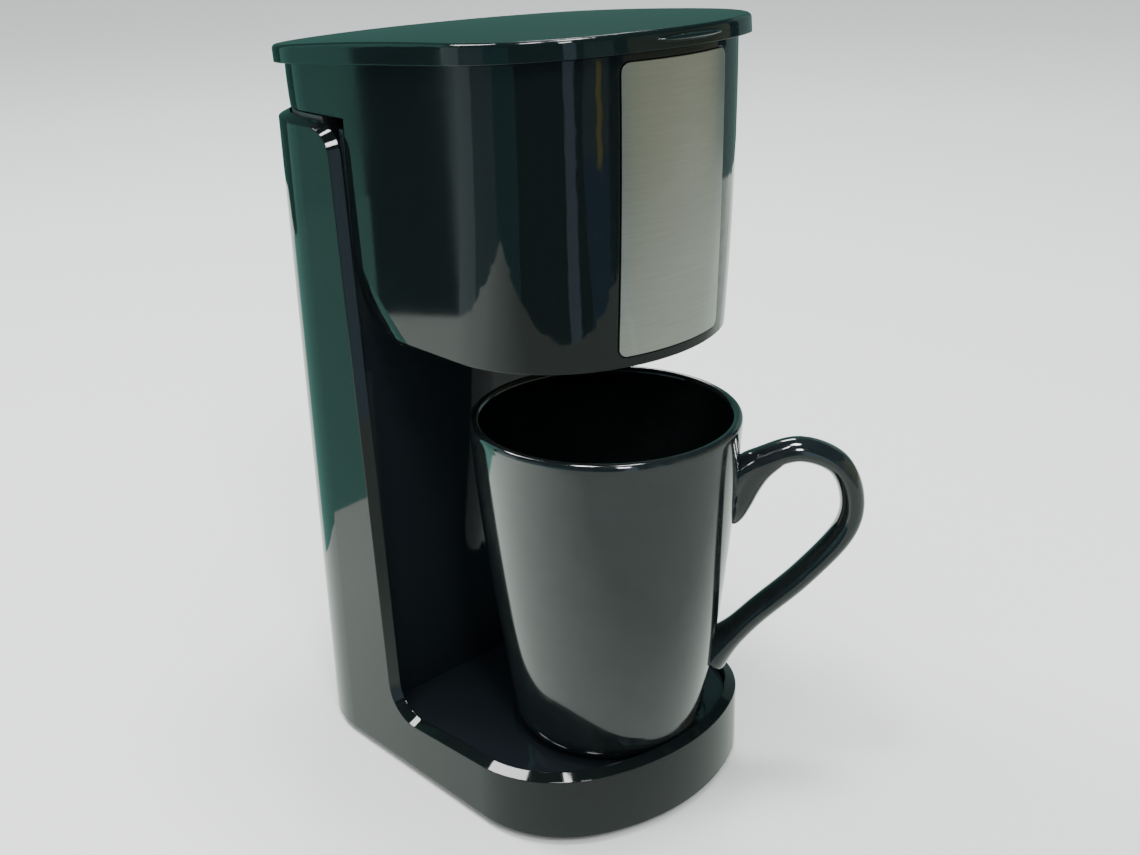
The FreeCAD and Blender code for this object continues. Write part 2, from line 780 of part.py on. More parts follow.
def filter_ring():
    """The ring that holds the mesh's top edge, with two lugs for the bail."""
    ring = tube("ring_band", "ring_radius", "ring_bore", "ring_thickness", 0, "brew_y", "mesh_top")
    posts = [
        box(f"ring_post_{side}", "ring_post", 4.4, "grip_lift + 1.8 - mesh_top",
            f"{sign}(grip_radius + 2.2)",
            "brew_y", "mesh_top")
        for side, sign in (("left", "-"), ("right", ""))
    ]
    pivot = rod("ring_pivot", "grip_wire + hinge_clearance", 80, -40, "brew_y", "grip_lift", "x")
    return cut("ring_finished", fuse("ring_with_posts", ring, *posts), pivot)


# ---------------------------------------------------------------- tank, valve and hoses


def tank_form(name, inset, front, bottom, top):
    """The tank's D-shaped plan: the plan outline cut off flat in front."""
    form = slab(name + "_form", "plan", [inset], bottom, f"{top} - ({bottom})")
    return cut(name, form, box(name + "_front", 140, 200, 400, 0, f"{front} - 100", 0))


def water_tank():
    """The open tank in the column, with its outlet hole."""
    outer = tank_form("tank_outer", "tank_inset", "tank_front", "tank_floor", "tank_top")
    inner = tank_form("tank_inner", "tank_inset + tank_wall", "tank_front + tank_wall",
                      "tank_floor + tank_wall",
                      "tank_top + 5")
    outlet = rod("tank_outlet", "tank_outlet_radius", 20, 0, "tank_outlet_y", "tank_floor - 10")
    return cut("tank_finished", outer, inner, outlet)


def tank_strainer():
    """The slotted disc that lies over the tank's outlet."""
    disc = rod("strainer_disc", "strainer_radius", "strainer_thickness", 0, "tank_outlet_y",
               "tank_floor + tank_wall")
    slots = [
        box(f"strainer_slot_{step}", 12, 1, 10, 0, f"tank_outlet_y + {2.4 * step}", "tank_floor")
        for step in (-2, -1, 0, 1, 2)
    ]
    return cut("strainer_finished", disc, *slots)


def valve_body():
    """The check valve's housing under the tank: a chamber for the ball, a seat and a hose spigot."""
    top = size("tank_floor")
    radius, chamber, bore = size("valve_radius"), size("valve_chamber_radius"), size("valve_bore")
    low = top - size("valve_height")
    seat = low + size("valve_height") - size("valve_chamber")
    tip = low - size("valve_spigot")
    spigot = size("hose_bore") - 0.05
    turned_body = turned("valve_turned", [
        (chamber, top), (radius, top), (radius, low), (spigot, low), (spigot, tip), (bore - 0.6, tip),
        (bore - 0.6, seat - 1.5), (bore, seat), (chamber, seat),
    ], "tank_outlet_y")
    slot = box("valve_slot", "2 * valve_chamber_radius - 0.4", 1.2, 2, 0, "tank_outlet_y",
               "tank_floor - valve_chamber - 1.5")
    return cut("valve_finished", turned_body, slot)


def valve_ball():
    """The ball that stops hot water running back to the tank."""
    ball = doc.addObject("Part::Sphere", "ball_finished")
    bind(ball, Radius="ball_radius")
    put(ball, 0, 0, "tank_floor - valve_chamber + 2.2")
    bind(ball, Placement__Base__y="tank_outlet_y")
    return ball


def route(points, bend):
    """A wire through points given in machine coordinates, with its corners rounded."""
    vectors = [FreeCAD.Vector(*point) for point in points]
    edges = []
    start = vectors[0]
    for before, corner, after in zip(vectors, vectors[1:], vectors[2:]):
        arriving = (corner - before).normalize()
        leaving = (after - corner).normalize()
        angle = arriving.getAngle(leaving)
        setback = bend * math.tan(angle / 2)
        first, last = corner - arriving * setback, corner + leaving * setback
        towards = (leaving - arriving).normalize()
        centre = corner + towards * (bend / math.cos(angle / 2))
        edges.append(Part.LineSegment(start, first).toShape())
        edges.append(Part.Arc(first, centre - towards * bend, last).toShape())
        start = last
    edges.append(Part.LineSegment(start, vectors[-1]).toShape())
    return Part.Wire(edges)


def along(path, radius):
    """A round bar along a wire."""
    start = path.OrderedVertexes[0].Point
    tangent = path.OrderedEdges[0].tangentAt(path.OrderedEdges[0].FirstParameter)
    ring = Part.Wire(Part.makeCircle(radius, start, tangent))
    return path.makePipeShell([ring], True, False, 2)


def placed_shape(name, shape):
    """A Part::Feature for a piece that follows a free route."""
    feature = doc.addObject("Part::Feature", name)
    feature.Shape = shape
    return feature


def hose(name, points, radius, bore, bend):
    """A hose of silicone along a route."""
    path = route(points, bend)
    return placed_shape(name, along(path, radius).cut(along(path, bore)))


# ---------------------------------------------------------------- heater


def heater_path(height, reach, left=0.0):
    """The U that the heater's tubes follow, at a height over its floor, with both ends carried on."""
    front = size("heater_front")
    rear = front + size("heater_pitch")
    turn_x, end = size("heater_turn"), size("heater_end") + reach
    level = size("heater_floor") + height
    middle_y = (front + rear) / 2
    return Part.Wire([
        Part.LineSegment(FreeCAD.Vector(end, front, level), FreeCAD.Vector(turn_x, front, level)).toShape(),
        Part.Arc(FreeCAD.Vector(turn_x, front, level), FreeCAD.Vector(turn_x - (rear - front) / 2,
                                                                      middle_y, level),
                 FreeCAD.Vector(turn_x, rear, level)).toShape(),
        Part.LineSegment(FreeCAD.Vector(turn_x, rear, level), FreeCAD.Vector(end, rear, level)).toShape(),
    ])


def heater_casting():
    """The aluminium U that ties the heating element to the water tube."""
    path = heater_path(size("heater_height") / 2, 0)
    half_width, half_height = size("heater_width") / 2, size("heater_height") / 2
    start = path.OrderedVertexes[0].Point
    corners = [start + FreeCAD.Vector(0, y, z) for y, z in (
        (-half_width, -half_height), (half_width, -half_height), (half_width, half_height),
        (-half_width, half_height),
        (-half_width, -half_height))]
    bar = path.makePipeShell([Part.makePolygon(corners)], True, False, 2)
    water = along(heater_path(size("water_tube_rise"), 1), size("water_tube_radius") + 0.03)
    element = along(heater_path(size("element_rise"), 1), size("element_radius") + 0.03)
    return placed_shape("casting_finished", bar.cut(water).cut(element))


def heater_water_tube():
    path = heater_path(size("water_tube_rise"), size("water_tube_reach"))
    return placed_shape("water_tube_finished",
                        along(path, size("water_tube_radius")).cut(along(path, size("water_tube_bore"))))


def heater_element():
    """The sheathed element with a contact pin at each end."""
    sheath = along(heater_path(size("element_rise"), size("element_reach")), size("element_radius"))
    level = size("heater_floor") + size("element_rise")
    end = size("heater_end") + size("element_reach")
    for y in (size("heater_front"), size("heater_front") + size("heater_pitch")):
        pin = Part.makeCylinder(size("pin_radius"), size("pin_reach") + 1,
                                FreeCAD.Vector(end - 1, y, level),
                                FreeCAD.Vector(1, 0, 0))
        sheath = sheath.fuse(pin)
    return placed_shape("element_finished", sheath)


def heater_bracket():
    """The steel strap over the heater, bent down to a foot on each side."""
    top = "heater_floor + heater_height"
    span = "heater_pitch + heater_width + 4"
    middle_y = "heater_front + heater_pitch / 2"
    strap = box("bracket_strap", "bracket_width", span, "bracket_steel", "bracket_x", middle_y, top)
    legs = [
        box(f"bracket_leg_{side}", "bracket_width", "bracket_steel",
            "heater_floor + heater_height - platform_floor",
            "bracket_x", f"{middle_y} {sign} ({span} - bracket_steel) / 2", "platform_floor")
        for side, sign in (("front", "-"), ("rear", "+"))
    ]
    floor = box("bracket_floor", "bracket_width", span, "bracket_steel", "bracket_x", middle_y,
                "platform_floor - bracket_steel")
    post = rod("bracket_post", 3, "platform_floor - bracket_steel - bottom_floor - bottom_thickness",
               "bracket_x", middle_y, "bottom_floor + bottom_thickness")
    return fuse("bracket_finished", strap, *legs, floor, post)


def thermostat():
    """The snap-disc thermostat on the heater's strap: flange, can and two tabs."""
    base_z = "heater_floor + heater_height + bracket_steel"
    can = rod("thermostat_can", "thermostat_radius", "thermostat_height", "bracket_x",
              "heater_front + heater_pitch / 2", base_z)
    tabs = [
        box(f"thermostat_tab_{side}", 5, 0.8, 6, f"bracket_x {sign} 3.5", "heater_front + heater_pitch / 2",
            f"{base_z} + thermostat_height - 0.2")
        for side, sign in (("left", "-"), ("right", "+"))
    ]
    return fuse("thermostat_finished", can, *tabs)


def thermal_fuse():
    """The one-shot fuse beside the thermostat, a sleeved cylinder."""
    return rod("fuse_finished", "fuse_radius", "fuse_length", "fuse_x", "fuse_y", "fuse_z", "x")


def outlet_nozzle():
    """The nozzle on top of the riser: a spigot, a foot that rests on the panel and an upright spout."""
    z = "panel_top + 0.2"
    parts = [
        rod("outlet_spigot", "hose_bore - 0.05", "panel_top + 0.2 - riser_top + 9", "riser_x", "riser_y",
            "riser_top - 9"),
        rod("outlet_collar", "outlet_flange", "panel_top + 0.2 - riser_top", "riser_x", "riser_y",
            "riser_top"),
        box("outlet_foot", 14, "tank_front - panel_front - 0.6", 2, "riser_x",
            "(tank_front + panel_front) / 2", z),
        rod("outlet_spout", "outlet_radius", f"outlet_top - ({z})", "riser_x", "riser_y", z),
    ]
    bore = rod("outlet_bore_hole", "outlet_bore", 60, "riser_x", "riser_y", "riser_top - 10")
    return cut("outlet_finished", fuse("outlet_solid", *parts), bore)


def hose_clips():
    """Spring rings on the hose ends that carry hot water or the tank's weight of water."""
    level = "heater_floor + water_tube_rise"
    places = (
        ("valve", 0, "tank_outlet_y", "tank_floor - valve_height - 4", "z"),
        ("inlet", "heater_end + 3", "heater_front + heater_pitch", level, "x"),
        ("riser", "heater_end + 3", "heater_front", level, "x"),
    )
    return fuse("clips_finished", *[
        tube(f"clip_{name}", "hose_radius + clip_steel", "hose_radius", "clip_width", x, y, z, axis)
        for name, x, y, z, axis in places
    ])


# ---------------------------------------------------------------- bottom, inlet and leads


CORNERS = (("front_left", "-", "front"), ("front_right", "", "front"), ("rear_left", "-", "rear"),
           ("rear_right", "", "rear"))


def bottom_cover():
    """The plate that closes the base: counterbored screw holes and vent slots."""
    plate = slab("bottom_plate", "plan", ["bottom_inset"], "bottom_floor", "bottom_thickness")
    tools = []
    for name, sign, end in CORNERS:
        tools.append(rod(f"bottom_hole_{name}", "screw_shank + 0.25", 10, f"{sign}screw_x", f"screw_{end}",
                         0))
        tools.append(rod(f"bottom_sink_{name}", "screw_head + 0.3", "screw_sink", f"{sign}screw_x",
                         f"screw_{end}",
                         "bottom_floor"))
    for step in range(4):
        tools.append(box(f"bottom_vent_{step}", "vent_length", "vent_width", 10, "vent_x",
                         f"vent_y + {step} * vent_pitch", 0))
    return cut("bottom_finished", plate, *tools)


def feet():
    """Four rubber feet."""
    return fuse("feet_finished", *[
        rod(f"foot_{name}", "foot_radius", "foot_height", f"{sign}foot_x", f"foot_{end}", 0)
        for name, sign, end in CORNERS
    ])


def cover_screws():
    """Four screws through the bottom cover, with a cross in each head."""
    screws = []
    for name, sign, end in CORNERS:
        x, y = f"{sign}screw_x", f"screw_{end}"
        head = rod(f"screw_head_{name}", "screw_head", "screw_sink - 0.1", x, y, "bottom_floor + 0.1")
        shank = rod(f"screw_shank_{name}", "screw_shank", "screw_length", x, y, "bottom_floor + screw_sink")
        cross = [
            box(f"screw_{way}_{name}", length, width, 0.9, x, y, "bottom_floor + 0.1")
            for way, length, width in (("slot_x", 3, 0.7), ("slot_y", 0.7, 3))
        ]
        screws.append(cut(f"screw_{name}", fuse(f"screw_solid_{name}", head, shank), *cross))
    return fuse("screws_finished", *screws)


def cord_gland():
    """The bush in the rear wall that the supply cord comes through."""
    sleeve = rod("gland_sleeve", "gland_radius", "plan_rear - gland_inner + gland_face", "inlet_x",
                 "gland_inner", "inlet_z", "y")
    outer = rod("gland_outer", "gland_flange", "gland_face - 0.05", "inlet_x", "plan_rear + 0.05",
                "inlet_z", "y")
    inner = rod("gland_nut", "gland_flange", 2.0, "inlet_x", "gland_inner + 0.5", "inlet_z", "y")
    bore = rod("gland_through", "gland_bore", 30, "inlet_x", "gland_inner - 5", "inlet_z", "y")
    return cut("gland_finished", fuse("gland_solid", sleeve, outer, inner), bore)


def cord_clamp():
    """The saddle on the bottom cover that would grip the supply cord."""
    base = box("clamp_base", "clamp_length", "clamp_width", "clamp_height", "inlet_x", "clamp_y",
               "bottom_floor + bottom_thickness")
    groove = rod("clamp_groove", "gland_bore", 30, "inlet_x", "clamp_y - 15",
                 "bottom_floor + bottom_thickness + clamp_height", "y")
    return cut("clamp_finished", base, groove)


def terminal_block():
    """The block where the supply meets the leads: three wells with a screw hole over each."""
    base_z = "bottom_floor + bottom_thickness"
    block = box("block_body", "block_length", "block_width", "block_height", "inlet_x", "block_y", base_z)
    wells = []
    for step in (-1, 0, 1):
        wells.append(rod(f"block_well_{step + 1}", 1.8, 30, f"inlet_x + {8 * step}", "block_y - 15",
                         f"{base_z} + 3.6", "y"))
        wells.append(rod(f"block_screw_{step + 1}", 1.6, 10, f"inlet_x + {8 * step}", "block_y",
                         f"{base_z} + 5"))
    return cut("block_finished", block, *wells)


def lead(name, points):
    """An insulated lead along a route."""
    return placed_shape(name + "_finished", along(route(points, size("lead_bend")), size("lead_radius")))


def leads():
    """The internal leads, each from terminal to terminal."""
    block_rear = size("block_y") + size("block_width") / 2 + 0.2
    block_z = size("bottom_floor") + size("bottom_thickness") + 3.6
    block_x = size("inlet_x")
    switch_x = size("plan_half_width") - 9
    switch_y = size("switch_y")
    switch_low = size("switch_z") - size("switch_length") / 2 + 1.5
    pin_x = size("heater_end") + size("element_reach") + size("pin_reach") + 1.3
    pin_z = size("heater_floor") + size("element_rise")
    front_y = size("heater_front")
    rear_y = front_y + size("heater_pitch")
    can_y = front_y + size("heater_pitch") / 2
    thermostat_seat = size("heater_floor") + size("heater_height") + size("bracket_steel")
    tab_z = thermostat_seat + size("thermostat_height") + 3.2
    tab_x = size("bracket_x")
    fuse_x, fuse_y, fuse_z = size("fuse_x"), size("fuse_y"), size("fuse_z")
    fuse_end = fuse_x + size("fuse_length")
    return {
        "lead_live": [
            (block_x + 8, block_rear, block_z), (block_x + 8, block_rear + 4, block_z),
            (switch_x, block_rear + 10, block_z + 2), (switch_x, switch_y - 3, 30),
            (switch_x, switch_y - 3, switch_low),
        ],
        "lead_switched": [
            (switch_x, switch_y + 3, switch_low), (switch_x, switch_y + 3, switch_low - 6),
            (tab_x + 9, switch_y + 5, switch_low - 6), (tab_x + 9, switch_y + 5, tab_z),
            (tab_x + 9, can_y, tab_z), (tab_x + 6.2, can_y, tab_z),
        ],
        "lead_thermostat": [
            (tab_x - 6.2, can_y, tab_z), (tab_x - 10.5, can_y, tab_z), (tab_x - 10.5, fuse_y, tab_z),
            (tab_x - 10.5, fuse_y, fuse_z), (fuse_x - 0.2, fuse_y, fuse_z),
        ],
        "lead_fuse": [
            (fuse_end + 0.2, fuse_y, fuse_z), (pin_x, fuse_y, fuse_z), (pin_x, front_y, pin_z + 3),
            (pin_x, front_y, pin_z - 0.6),
        ],
        "lead_neutral": [
            (block_x - 8, block_rear, block_z), (block_x - 8, block_rear + 8, block_z),
            (pin_x, block_rear + 14, block_z), (pin_x, can_y, block_z + 2), (pin_x, can_y, pin_z),
            (pin_x, rear_y + 0.8, pin_z),
        ],
    }


# ---------------------------------------------------------------- switch


def switch_housing():
    """The snap-in housing: a bezel, a box behind it and a well for the rocker."""
    bezel = box("switch_bezel_plate", "switch_bezel", "switch_width", "switch_length",
                "plan_half_width + switch_bezel / 2", "switch_y", "switch_z - switch_length / 2")
    case = box("switch_case", "switch_depth", "switch_width - 3.4", "switch_length - 3.4",
               "plan_half_width - switch_depth / 2", "switch_y", "switch_z - (switch_length - 3.4) / 2")
    well = box("switch_well", 7, "rocker_width + 0.6", "rocker_length + 0.9", "plan_half_width - 1.6",
               "switch_y", "switch_z - (rocker_length + 0.9) / 2")
    pivot = rod("switch_pivot", "rocker_pin + hinge_clearance", "rocker_width + 2.2", "rocker_x",
                "switch_y - (rocker_width + 2.2) / 2", "switch_z", "y")
    return cut("switch_finished", fuse("switch_solid", bezel, case), well, pivot)


def switch_rocker():
    """The rocker, dished on its face, tilted to its off position on its two trunnions."""
    block = box("rocker_block", "rocker_thickness", "rocker_width", "rocker_length", "0.6", 0,
                "-rocker_length / 2")
    dish = rod("rocker_dish", 34, "rocker_width + 2", "rocker_thickness / 2 + 0.6 + 33.2",
               "-rocker_width / 2 - 1", 0, "y")
    pin = rod("rocker_trunnions", "rocker_pin", "rocker_width + 2", 0, "-(rocker_width + 2) / 2", 0, "y")
    rocker = fuse("rocker_solid", cut("rocker_dished", block, dish), pin)
    put(rocker, 0, 0, "switch_z")
    return turn(rocker, FreeCAD.Vector(0, 1, 0), "0 - rocker_tilt")


# ---------------------------------------------------------------- lid


def tilted(feature):
    """Raise a feature drawn in the lid's own plane to the lid's place and slope."""
    feature.Placement = FreeCAD.Placement(FreeCAD.Vector(), FreeCAD.Rotation(FreeCAD.Vector(-1, 0, 0), 1))
    bind(feature, Placement__Base__z="lid_height", Placement__Rotation__Angle="lid_slope")
    return feature


def lid_cover():
    """The lid's crowned top with its turned-down edge, finger tab and two hinge ears."""
    blank = slab("lid_blank", "plan", ["flush"], 0, "lid_thickness + 1")
    crown = doc.addObject("Part::Sphere", "lid_crown")
    bind(crown, Radius="lid_crown_radius")
    put(crown, 0, 0, "lid_thickness - lid_crown_radius")
    bind(crown, Placement__Base__y="lid_middle")
    top = common("lid_top", blank, crown)
    tab = doc.addObject("Part::Ellipsoid", "lid_tab")
    bind(tab, Radius1="tab_thickness / 2", Radius2="tab_width / 2", Radius3="tab_reach + 2")
    bind(tab, Placement__Base__y="2 - plan_front", Placement__Base__z="tab_height")
    doc.recompute()
    rounded = doc.addObject("Part::Fillet", "lid_rounded")
    rounded.Base = top
    edge_radius = size("lid_edge_radius")
    rounded.Edges = [
        (index, edge_radius, edge_radius)
        for index, edge in enumerate(top.Shape.Edges, start=1)
        if min(vertex.Z for vertex in edge.Vertexes) > size("lid_thickness") / 2
    ]
    cavity = slab("lid_cavity", "plan", ["lid_rim"], -1, "lid_skin + 1")
    shell = tilted(cut("lid_shell", fuse("lid_with_tab", rounded, tab), cavity))
    ears = []
    for side, sign in (("left", "-"), ("right", "")):
        x = f"{sign}(hinge_span + knuckle_width + 0.3)"
        ears.append(rod(f"lid_ear_{side}", "hinge_knuckle", "knuckle_width", f"{x} - knuckle_width / 2",
                        "hinge_y", "hinge_z", "x"))
        ears.append(box(f"lid_ear_web_{side}", "knuckle_width", 3, "ear_rise", x, "hinge_y + 0.4",
                        "hinge_z"))
    pin_hole = rod("lid_pin_hole", "hinge_pin_radius + hinge_clearance", 80, -40, "hinge_y", "hinge_z", "x")
    return cut("lid_finished", fuse("lid_with_ears", shell, *ears), pin_hole)


def lid_liner():
    """The inner tray of the lid, whose rim drops inside the collar."""
    plate = slab("liner_plate", "plan", ["liner_inset"], "lid_skin - liner_thickness", "liner_thickness")
    rim = slab("liner_rim", "plan", ["liner_inset", "liner_inset + liner_wall"], "-liner_drop",
               "lid_skin - liner_thickness + liner_drop")
    return tilted(fuse("liner_finished", plate, rim))


def lid_water_channel():
    """The trough under the liner that carries hot water from the nozzle to the shower."""
    low = "-channel_depth + 0.6"
    rise = "lid_skin - liner_thickness + channel_depth - 0.7"
    length = "channel_rear - channel_front"
    middle_y = "(channel_rear + channel_front) / 2"
    outer = box("channel_outer", "channel_width", length, rise, 0, middle_y, low)
    inner = box("channel_inner", "channel_width - 2 * channel_wall", f"{length} - 2 * channel_wall", 20, 0,
                middle_y,
                f"{low} + channel_wall")
    inlet = rod("channel_inlet", "outlet_bore + 0.4", 30, 0, "riser_y + 0.6", -20)
    outlet = rod("channel_outlet", 4.5, 30, 0, "brew_y", -20)
    return tilted(cut("channel_finished", outer, inner, inlet, outlet))


def shower_head():
    """The dish under the channel whose holes spread the water over the coffee."""
    top = "-channel_depth + 0.6"
    dish = rod("shower_dish", "shower_radius", "shower_depth", 0, "brew_y", f"{top} - shower_depth")
    hollow = rod("shower_hollow", "shower_radius - 1.4", "shower_depth", 0, "brew_y",
                 f"{top} - shower_depth + shower_thickness")
    holes = []
    for ring, count in ((5.5, 6), (11.0, 12)):
        for step in range(count):
            angle = 2 * math.pi * step / count
            holes.append(rod(f"shower_hole_{count}_{step}", "shower_hole", 10,
                             round(ring * math.cos(angle), 3),
                             f"brew_y + {ring * math.sin(angle):.3f}", f"{top} - shower_depth - 5"))
    return tilted(cut("shower_finished", dish, hollow, *holes))


def lid_hinge_pin():
    return rod("hinge_pin_finished", "hinge_pin_radius", 66, -33, "hinge_y", "hinge_z", "x")


# ---------------------------------------------------------------- mug


def profile_body(name, edges):
    """A solid turned about the body's own Z axis from a closed chain of lines and arcs."""
    body = doc.addObject("PartDesign::Body", name)
    drawing = sketch(body, name + "_profile", "XZ_Plane")
    drawing.addGeometry(edges)
    revolution = body.newObject("PartDesign::Revolution", name + "_turn")
    revolution.Profile = drawing
    revolution.ReferenceAxis = (drawing, ["V_Axis"])
    revolution.Angle = 360
    return body


def line(start, end):
    return Part.LineSegment(FreeCAD.Vector(*start), FreeCAD.Vector(*end))


def bow(start, middle_point, end):
    return Part.Arc(FreeCAD.Vector(*start), FreeCAD.Vector(*middle_point), FreeCAD.Vector(*end))


def mug():
    """The ceramic mug: a tapered cup on a foot ring, with an ear handle that ends in a tail on top."""
    tall, lip = size("mug_height"), size("mug_rim_radius")
    waist, waist_z = size("mug_waist_radius"), size("mug_waist")
    heel, heel_z = size("mug_heel_radius"), size("mug_heel")
    foot, recess = size("mug_foot_radius"), size("mug_foot_recess")
    wall, floor = size("mug_wall"), size("mug_floor")
    outside = profile_body("mug_outside", [
        line((0, recess), (foot - 4, recess)),
        line((foot - 4, recess), (foot - 2.6, 0)),
        line((foot - 2.6, 0), (foot, 0)),
        bow((foot, 0), (heel - 1.8, heel_z / 2 - 1.2), (heel, heel_z)),
        bow((heel, heel_z), (waist, waist_z), (lip, tall - 1.4)),
        bow((lip, tall - 1.4), (lip - 0.5, tall - 0.4), (lip - 1.5, tall)),
        line((lip - 1.5, tall), (0, tall)),
        line((0, tall), (0, recess)),
    ])
    inside = profile_body("mug_inside", [
        line((0, floor), (foot - 2, floor)),
        bow((foot - 2, floor), (heel - wall - 1.2, heel_z / 2 + 3.6), (heel - wall, heel_z + 4)),
        bow((heel - wall, heel_z + 4), (waist - wall, waist_z), (lip - wall + 0.2, tall - 1.4)),
        line((lip - wall + 0.2, tall - 1.4), (lip - wall + 1.2, tall + 0.2)),
        line((lip - wall + 1.2, tall + 0.2), (0, tall + 0.2)),
        line((0, tall + 0.2), (0, floor)),
    ])
    path = Part.BSplineCurve()
    path.interpolate([FreeCAD.Vector(x, 0, z) for x, z in (
        (39.2, 88.0), (49.0, 94.2), (62.0, 97.8), (74.6, 92.6), (79.9, 80.5), (77.4, 68.0), (64.6, 52.6),
        (50.5, 39.8),
        (35.4, 24.5))])
    start, direction = path.value(0), path.tangent(0)[0]
    ring = Part.Ellipse(FreeCAD.Vector(), size("handle_half_width"),
                        size("handle_half_thickness")).toShape()
    ring.Placement = FreeCAD.Placement(start, FreeCAD.Rotation(FreeCAD.Vector(0, 1, 0), FreeCAD.Vector(),
                                                               direction,
                                                               "ZXY"))
    handle = Part.Wire([path.toShape()]).makePipeShell([Part.Wire(ring)], True, False)
    tail = doc.addObject("Part::Ellipsoid", "mug_handle_tail")
    bind(tail, Radius1="handle_tail_length / 2", Radius2="handle_half_width - 0.2",
         Radius3="handle_half_width - 0.2")
    put(tail, "handle_tail_x", 0, "handle_tail_z")
    cup = cut("mug_finished", fuse("mug_solid", outside, placed_shape("mug_handle", handle), tail), inside)
    put(cup, 0, 0, "mug_foot_z")
    return turn(cup, FreeCAD.Vector(0, 0, 1), "0 + mug_turn")


# ---------------------------------------------------------------- assembly


def build():
    level = size("heater_floor") + size("water_tube_rise")
    hose_start = size("heater_end") + 1
    bend_x = size("heater_end") + 18
    rear_y = size("heater_front") + size("heater_pitch")
    front_y = size("heater_front")
    valve_low = size("tank_floor") - size("valve_height")
    riser_y = size("riser_y")
    inlet_route = [(0, size("tank_outlet_y"), valve_low - 0.2), (0, size("tank_outlet_y"), valve_low - 14),
                   (bend_x, rear_y, valve_low - 14), (bend_x, rear_y, level), (hose_start, rear_y, level)]
    riser_route = [(hose_start, front_y, level), (bend_x - 1, front_y, level),
                   (bend_x - 1, riser_y, level + 19),
                   (size("riser_x"), riser_y, level + 43), (size("riser_x"), riser_y,
                                                            size("riser_top") - 0.2)]
    hose_sizes = (size("hose_radius"), size("hose_bore"), size("hose_bend"))

    node("body_shell", body_shell())
    node("cup_platform", cup_platform())
    node("column_panel", column_panel())
    node("head_housing", head_housing())
    node("head_cover", head_cover())
    node("front_plate", front_plate())
    node("basket_holder", basket_holder(), "brew_y")
    node("filter_basket", filter_basket())
    node("mesh_filter", mesh_filter(), "brew_y")
    node("filter_ring", filter_ring())
    node("filter_bail", grip_wire())
    node("water_tank", water_tank())
    node("tank_strainer", tank_strainer())
    node("valve_body", valve_body())
    node("valve_ball", valve_ball(), "tank_outlet_y")
    node("inlet_hose", hose("inlet_hose_finished", inlet_route, *hose_sizes))
    node("riser_hose", hose("riser_hose_finished", riser_route, *hose_sizes))
    node("hose_clips", hose_clips())
    node("outlet_nozzle", outlet_nozzle())
    node("nozzle_seal", tube("seal_finished", "outlet_flange", "outlet_bore", "seal_thickness", "riser_x",
                             "riser_y", "outlet_top"))
    node("heater_casting", heater_casting())
    node("heater_water_tube", heater_water_tube())
    node("heater_element", heater_element())
    node("heater_bracket", heater_bracket())
    node("thermostat", thermostat())
    node("thermal_fuse", thermal_fuse(), "fuse_y", "fuse_x")
    node("bottom_cover", bottom_cover())
    node("feet", feet())
    node("cover_screws", cover_screws())
    node("cord_gland", cord_gland())
    node("cord_clamp", cord_clamp())
    node("terminal_block", terminal_block())
    for name, points in leads().items():
        node(name, lead(name, points))
    node("switch_housing", switch_housing())
    node("switch_rocker", switch_rocker(), "switch_y", "rocker_x")
    node("lid_cover", lid_cover())
    node("lid_liner", lid_liner())
    node("lid_water_channel", lid_water_channel())
    node("shower_head", shower_head())
    node("lid_hinge_pin", lid_hinge_pin(), "hinge_y", -33)
    node("mug", mug(), "mug_y")


def check_and_export():
    """Recompute, stop on any feature that failed, and write each node's STEP file."""
    doc.recompute()
    for feature in doc.Objects:
        if "Invalid" in feature.State or "Error" in feature.State:
            raise RuntimeError(f"{feature.Name} failed to recompute: {feature.State}")
    os.makedirs("parts", exist_ok=True)
    for name, feature in NODES.items():
        shape = feature.Shape
        if shape.isNull() or not shape.isValid() or not shape.Solids:
            raise RuntimeError(f"{name} has no valid solid")
        shape.exportStep(f"parts/{name}.step")


build()
check_and_export()
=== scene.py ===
import json
import math

import bmesh
import bpy
from mathutils import Matrix, Vector


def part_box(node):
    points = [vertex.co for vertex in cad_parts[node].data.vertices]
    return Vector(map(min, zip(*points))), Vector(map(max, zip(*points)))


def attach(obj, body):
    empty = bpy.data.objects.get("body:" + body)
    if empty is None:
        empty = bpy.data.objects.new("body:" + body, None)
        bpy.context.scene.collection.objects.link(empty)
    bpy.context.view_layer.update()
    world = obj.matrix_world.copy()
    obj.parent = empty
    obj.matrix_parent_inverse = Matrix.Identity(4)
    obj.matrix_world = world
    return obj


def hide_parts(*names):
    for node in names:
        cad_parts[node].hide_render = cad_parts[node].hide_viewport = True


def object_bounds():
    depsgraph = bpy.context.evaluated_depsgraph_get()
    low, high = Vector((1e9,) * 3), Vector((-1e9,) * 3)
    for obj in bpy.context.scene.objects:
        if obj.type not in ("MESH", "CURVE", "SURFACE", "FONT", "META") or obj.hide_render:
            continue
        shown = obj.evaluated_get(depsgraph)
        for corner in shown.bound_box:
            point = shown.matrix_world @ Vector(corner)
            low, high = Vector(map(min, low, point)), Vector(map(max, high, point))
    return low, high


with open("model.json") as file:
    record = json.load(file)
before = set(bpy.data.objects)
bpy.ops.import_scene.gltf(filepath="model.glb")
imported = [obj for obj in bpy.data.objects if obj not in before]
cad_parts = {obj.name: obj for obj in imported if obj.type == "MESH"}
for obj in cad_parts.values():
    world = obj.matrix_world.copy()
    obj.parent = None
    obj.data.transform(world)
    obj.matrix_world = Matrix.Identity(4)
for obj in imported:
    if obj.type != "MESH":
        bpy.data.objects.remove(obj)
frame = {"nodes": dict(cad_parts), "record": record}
cad_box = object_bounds()

# ---------------------------------------------------------------- materials


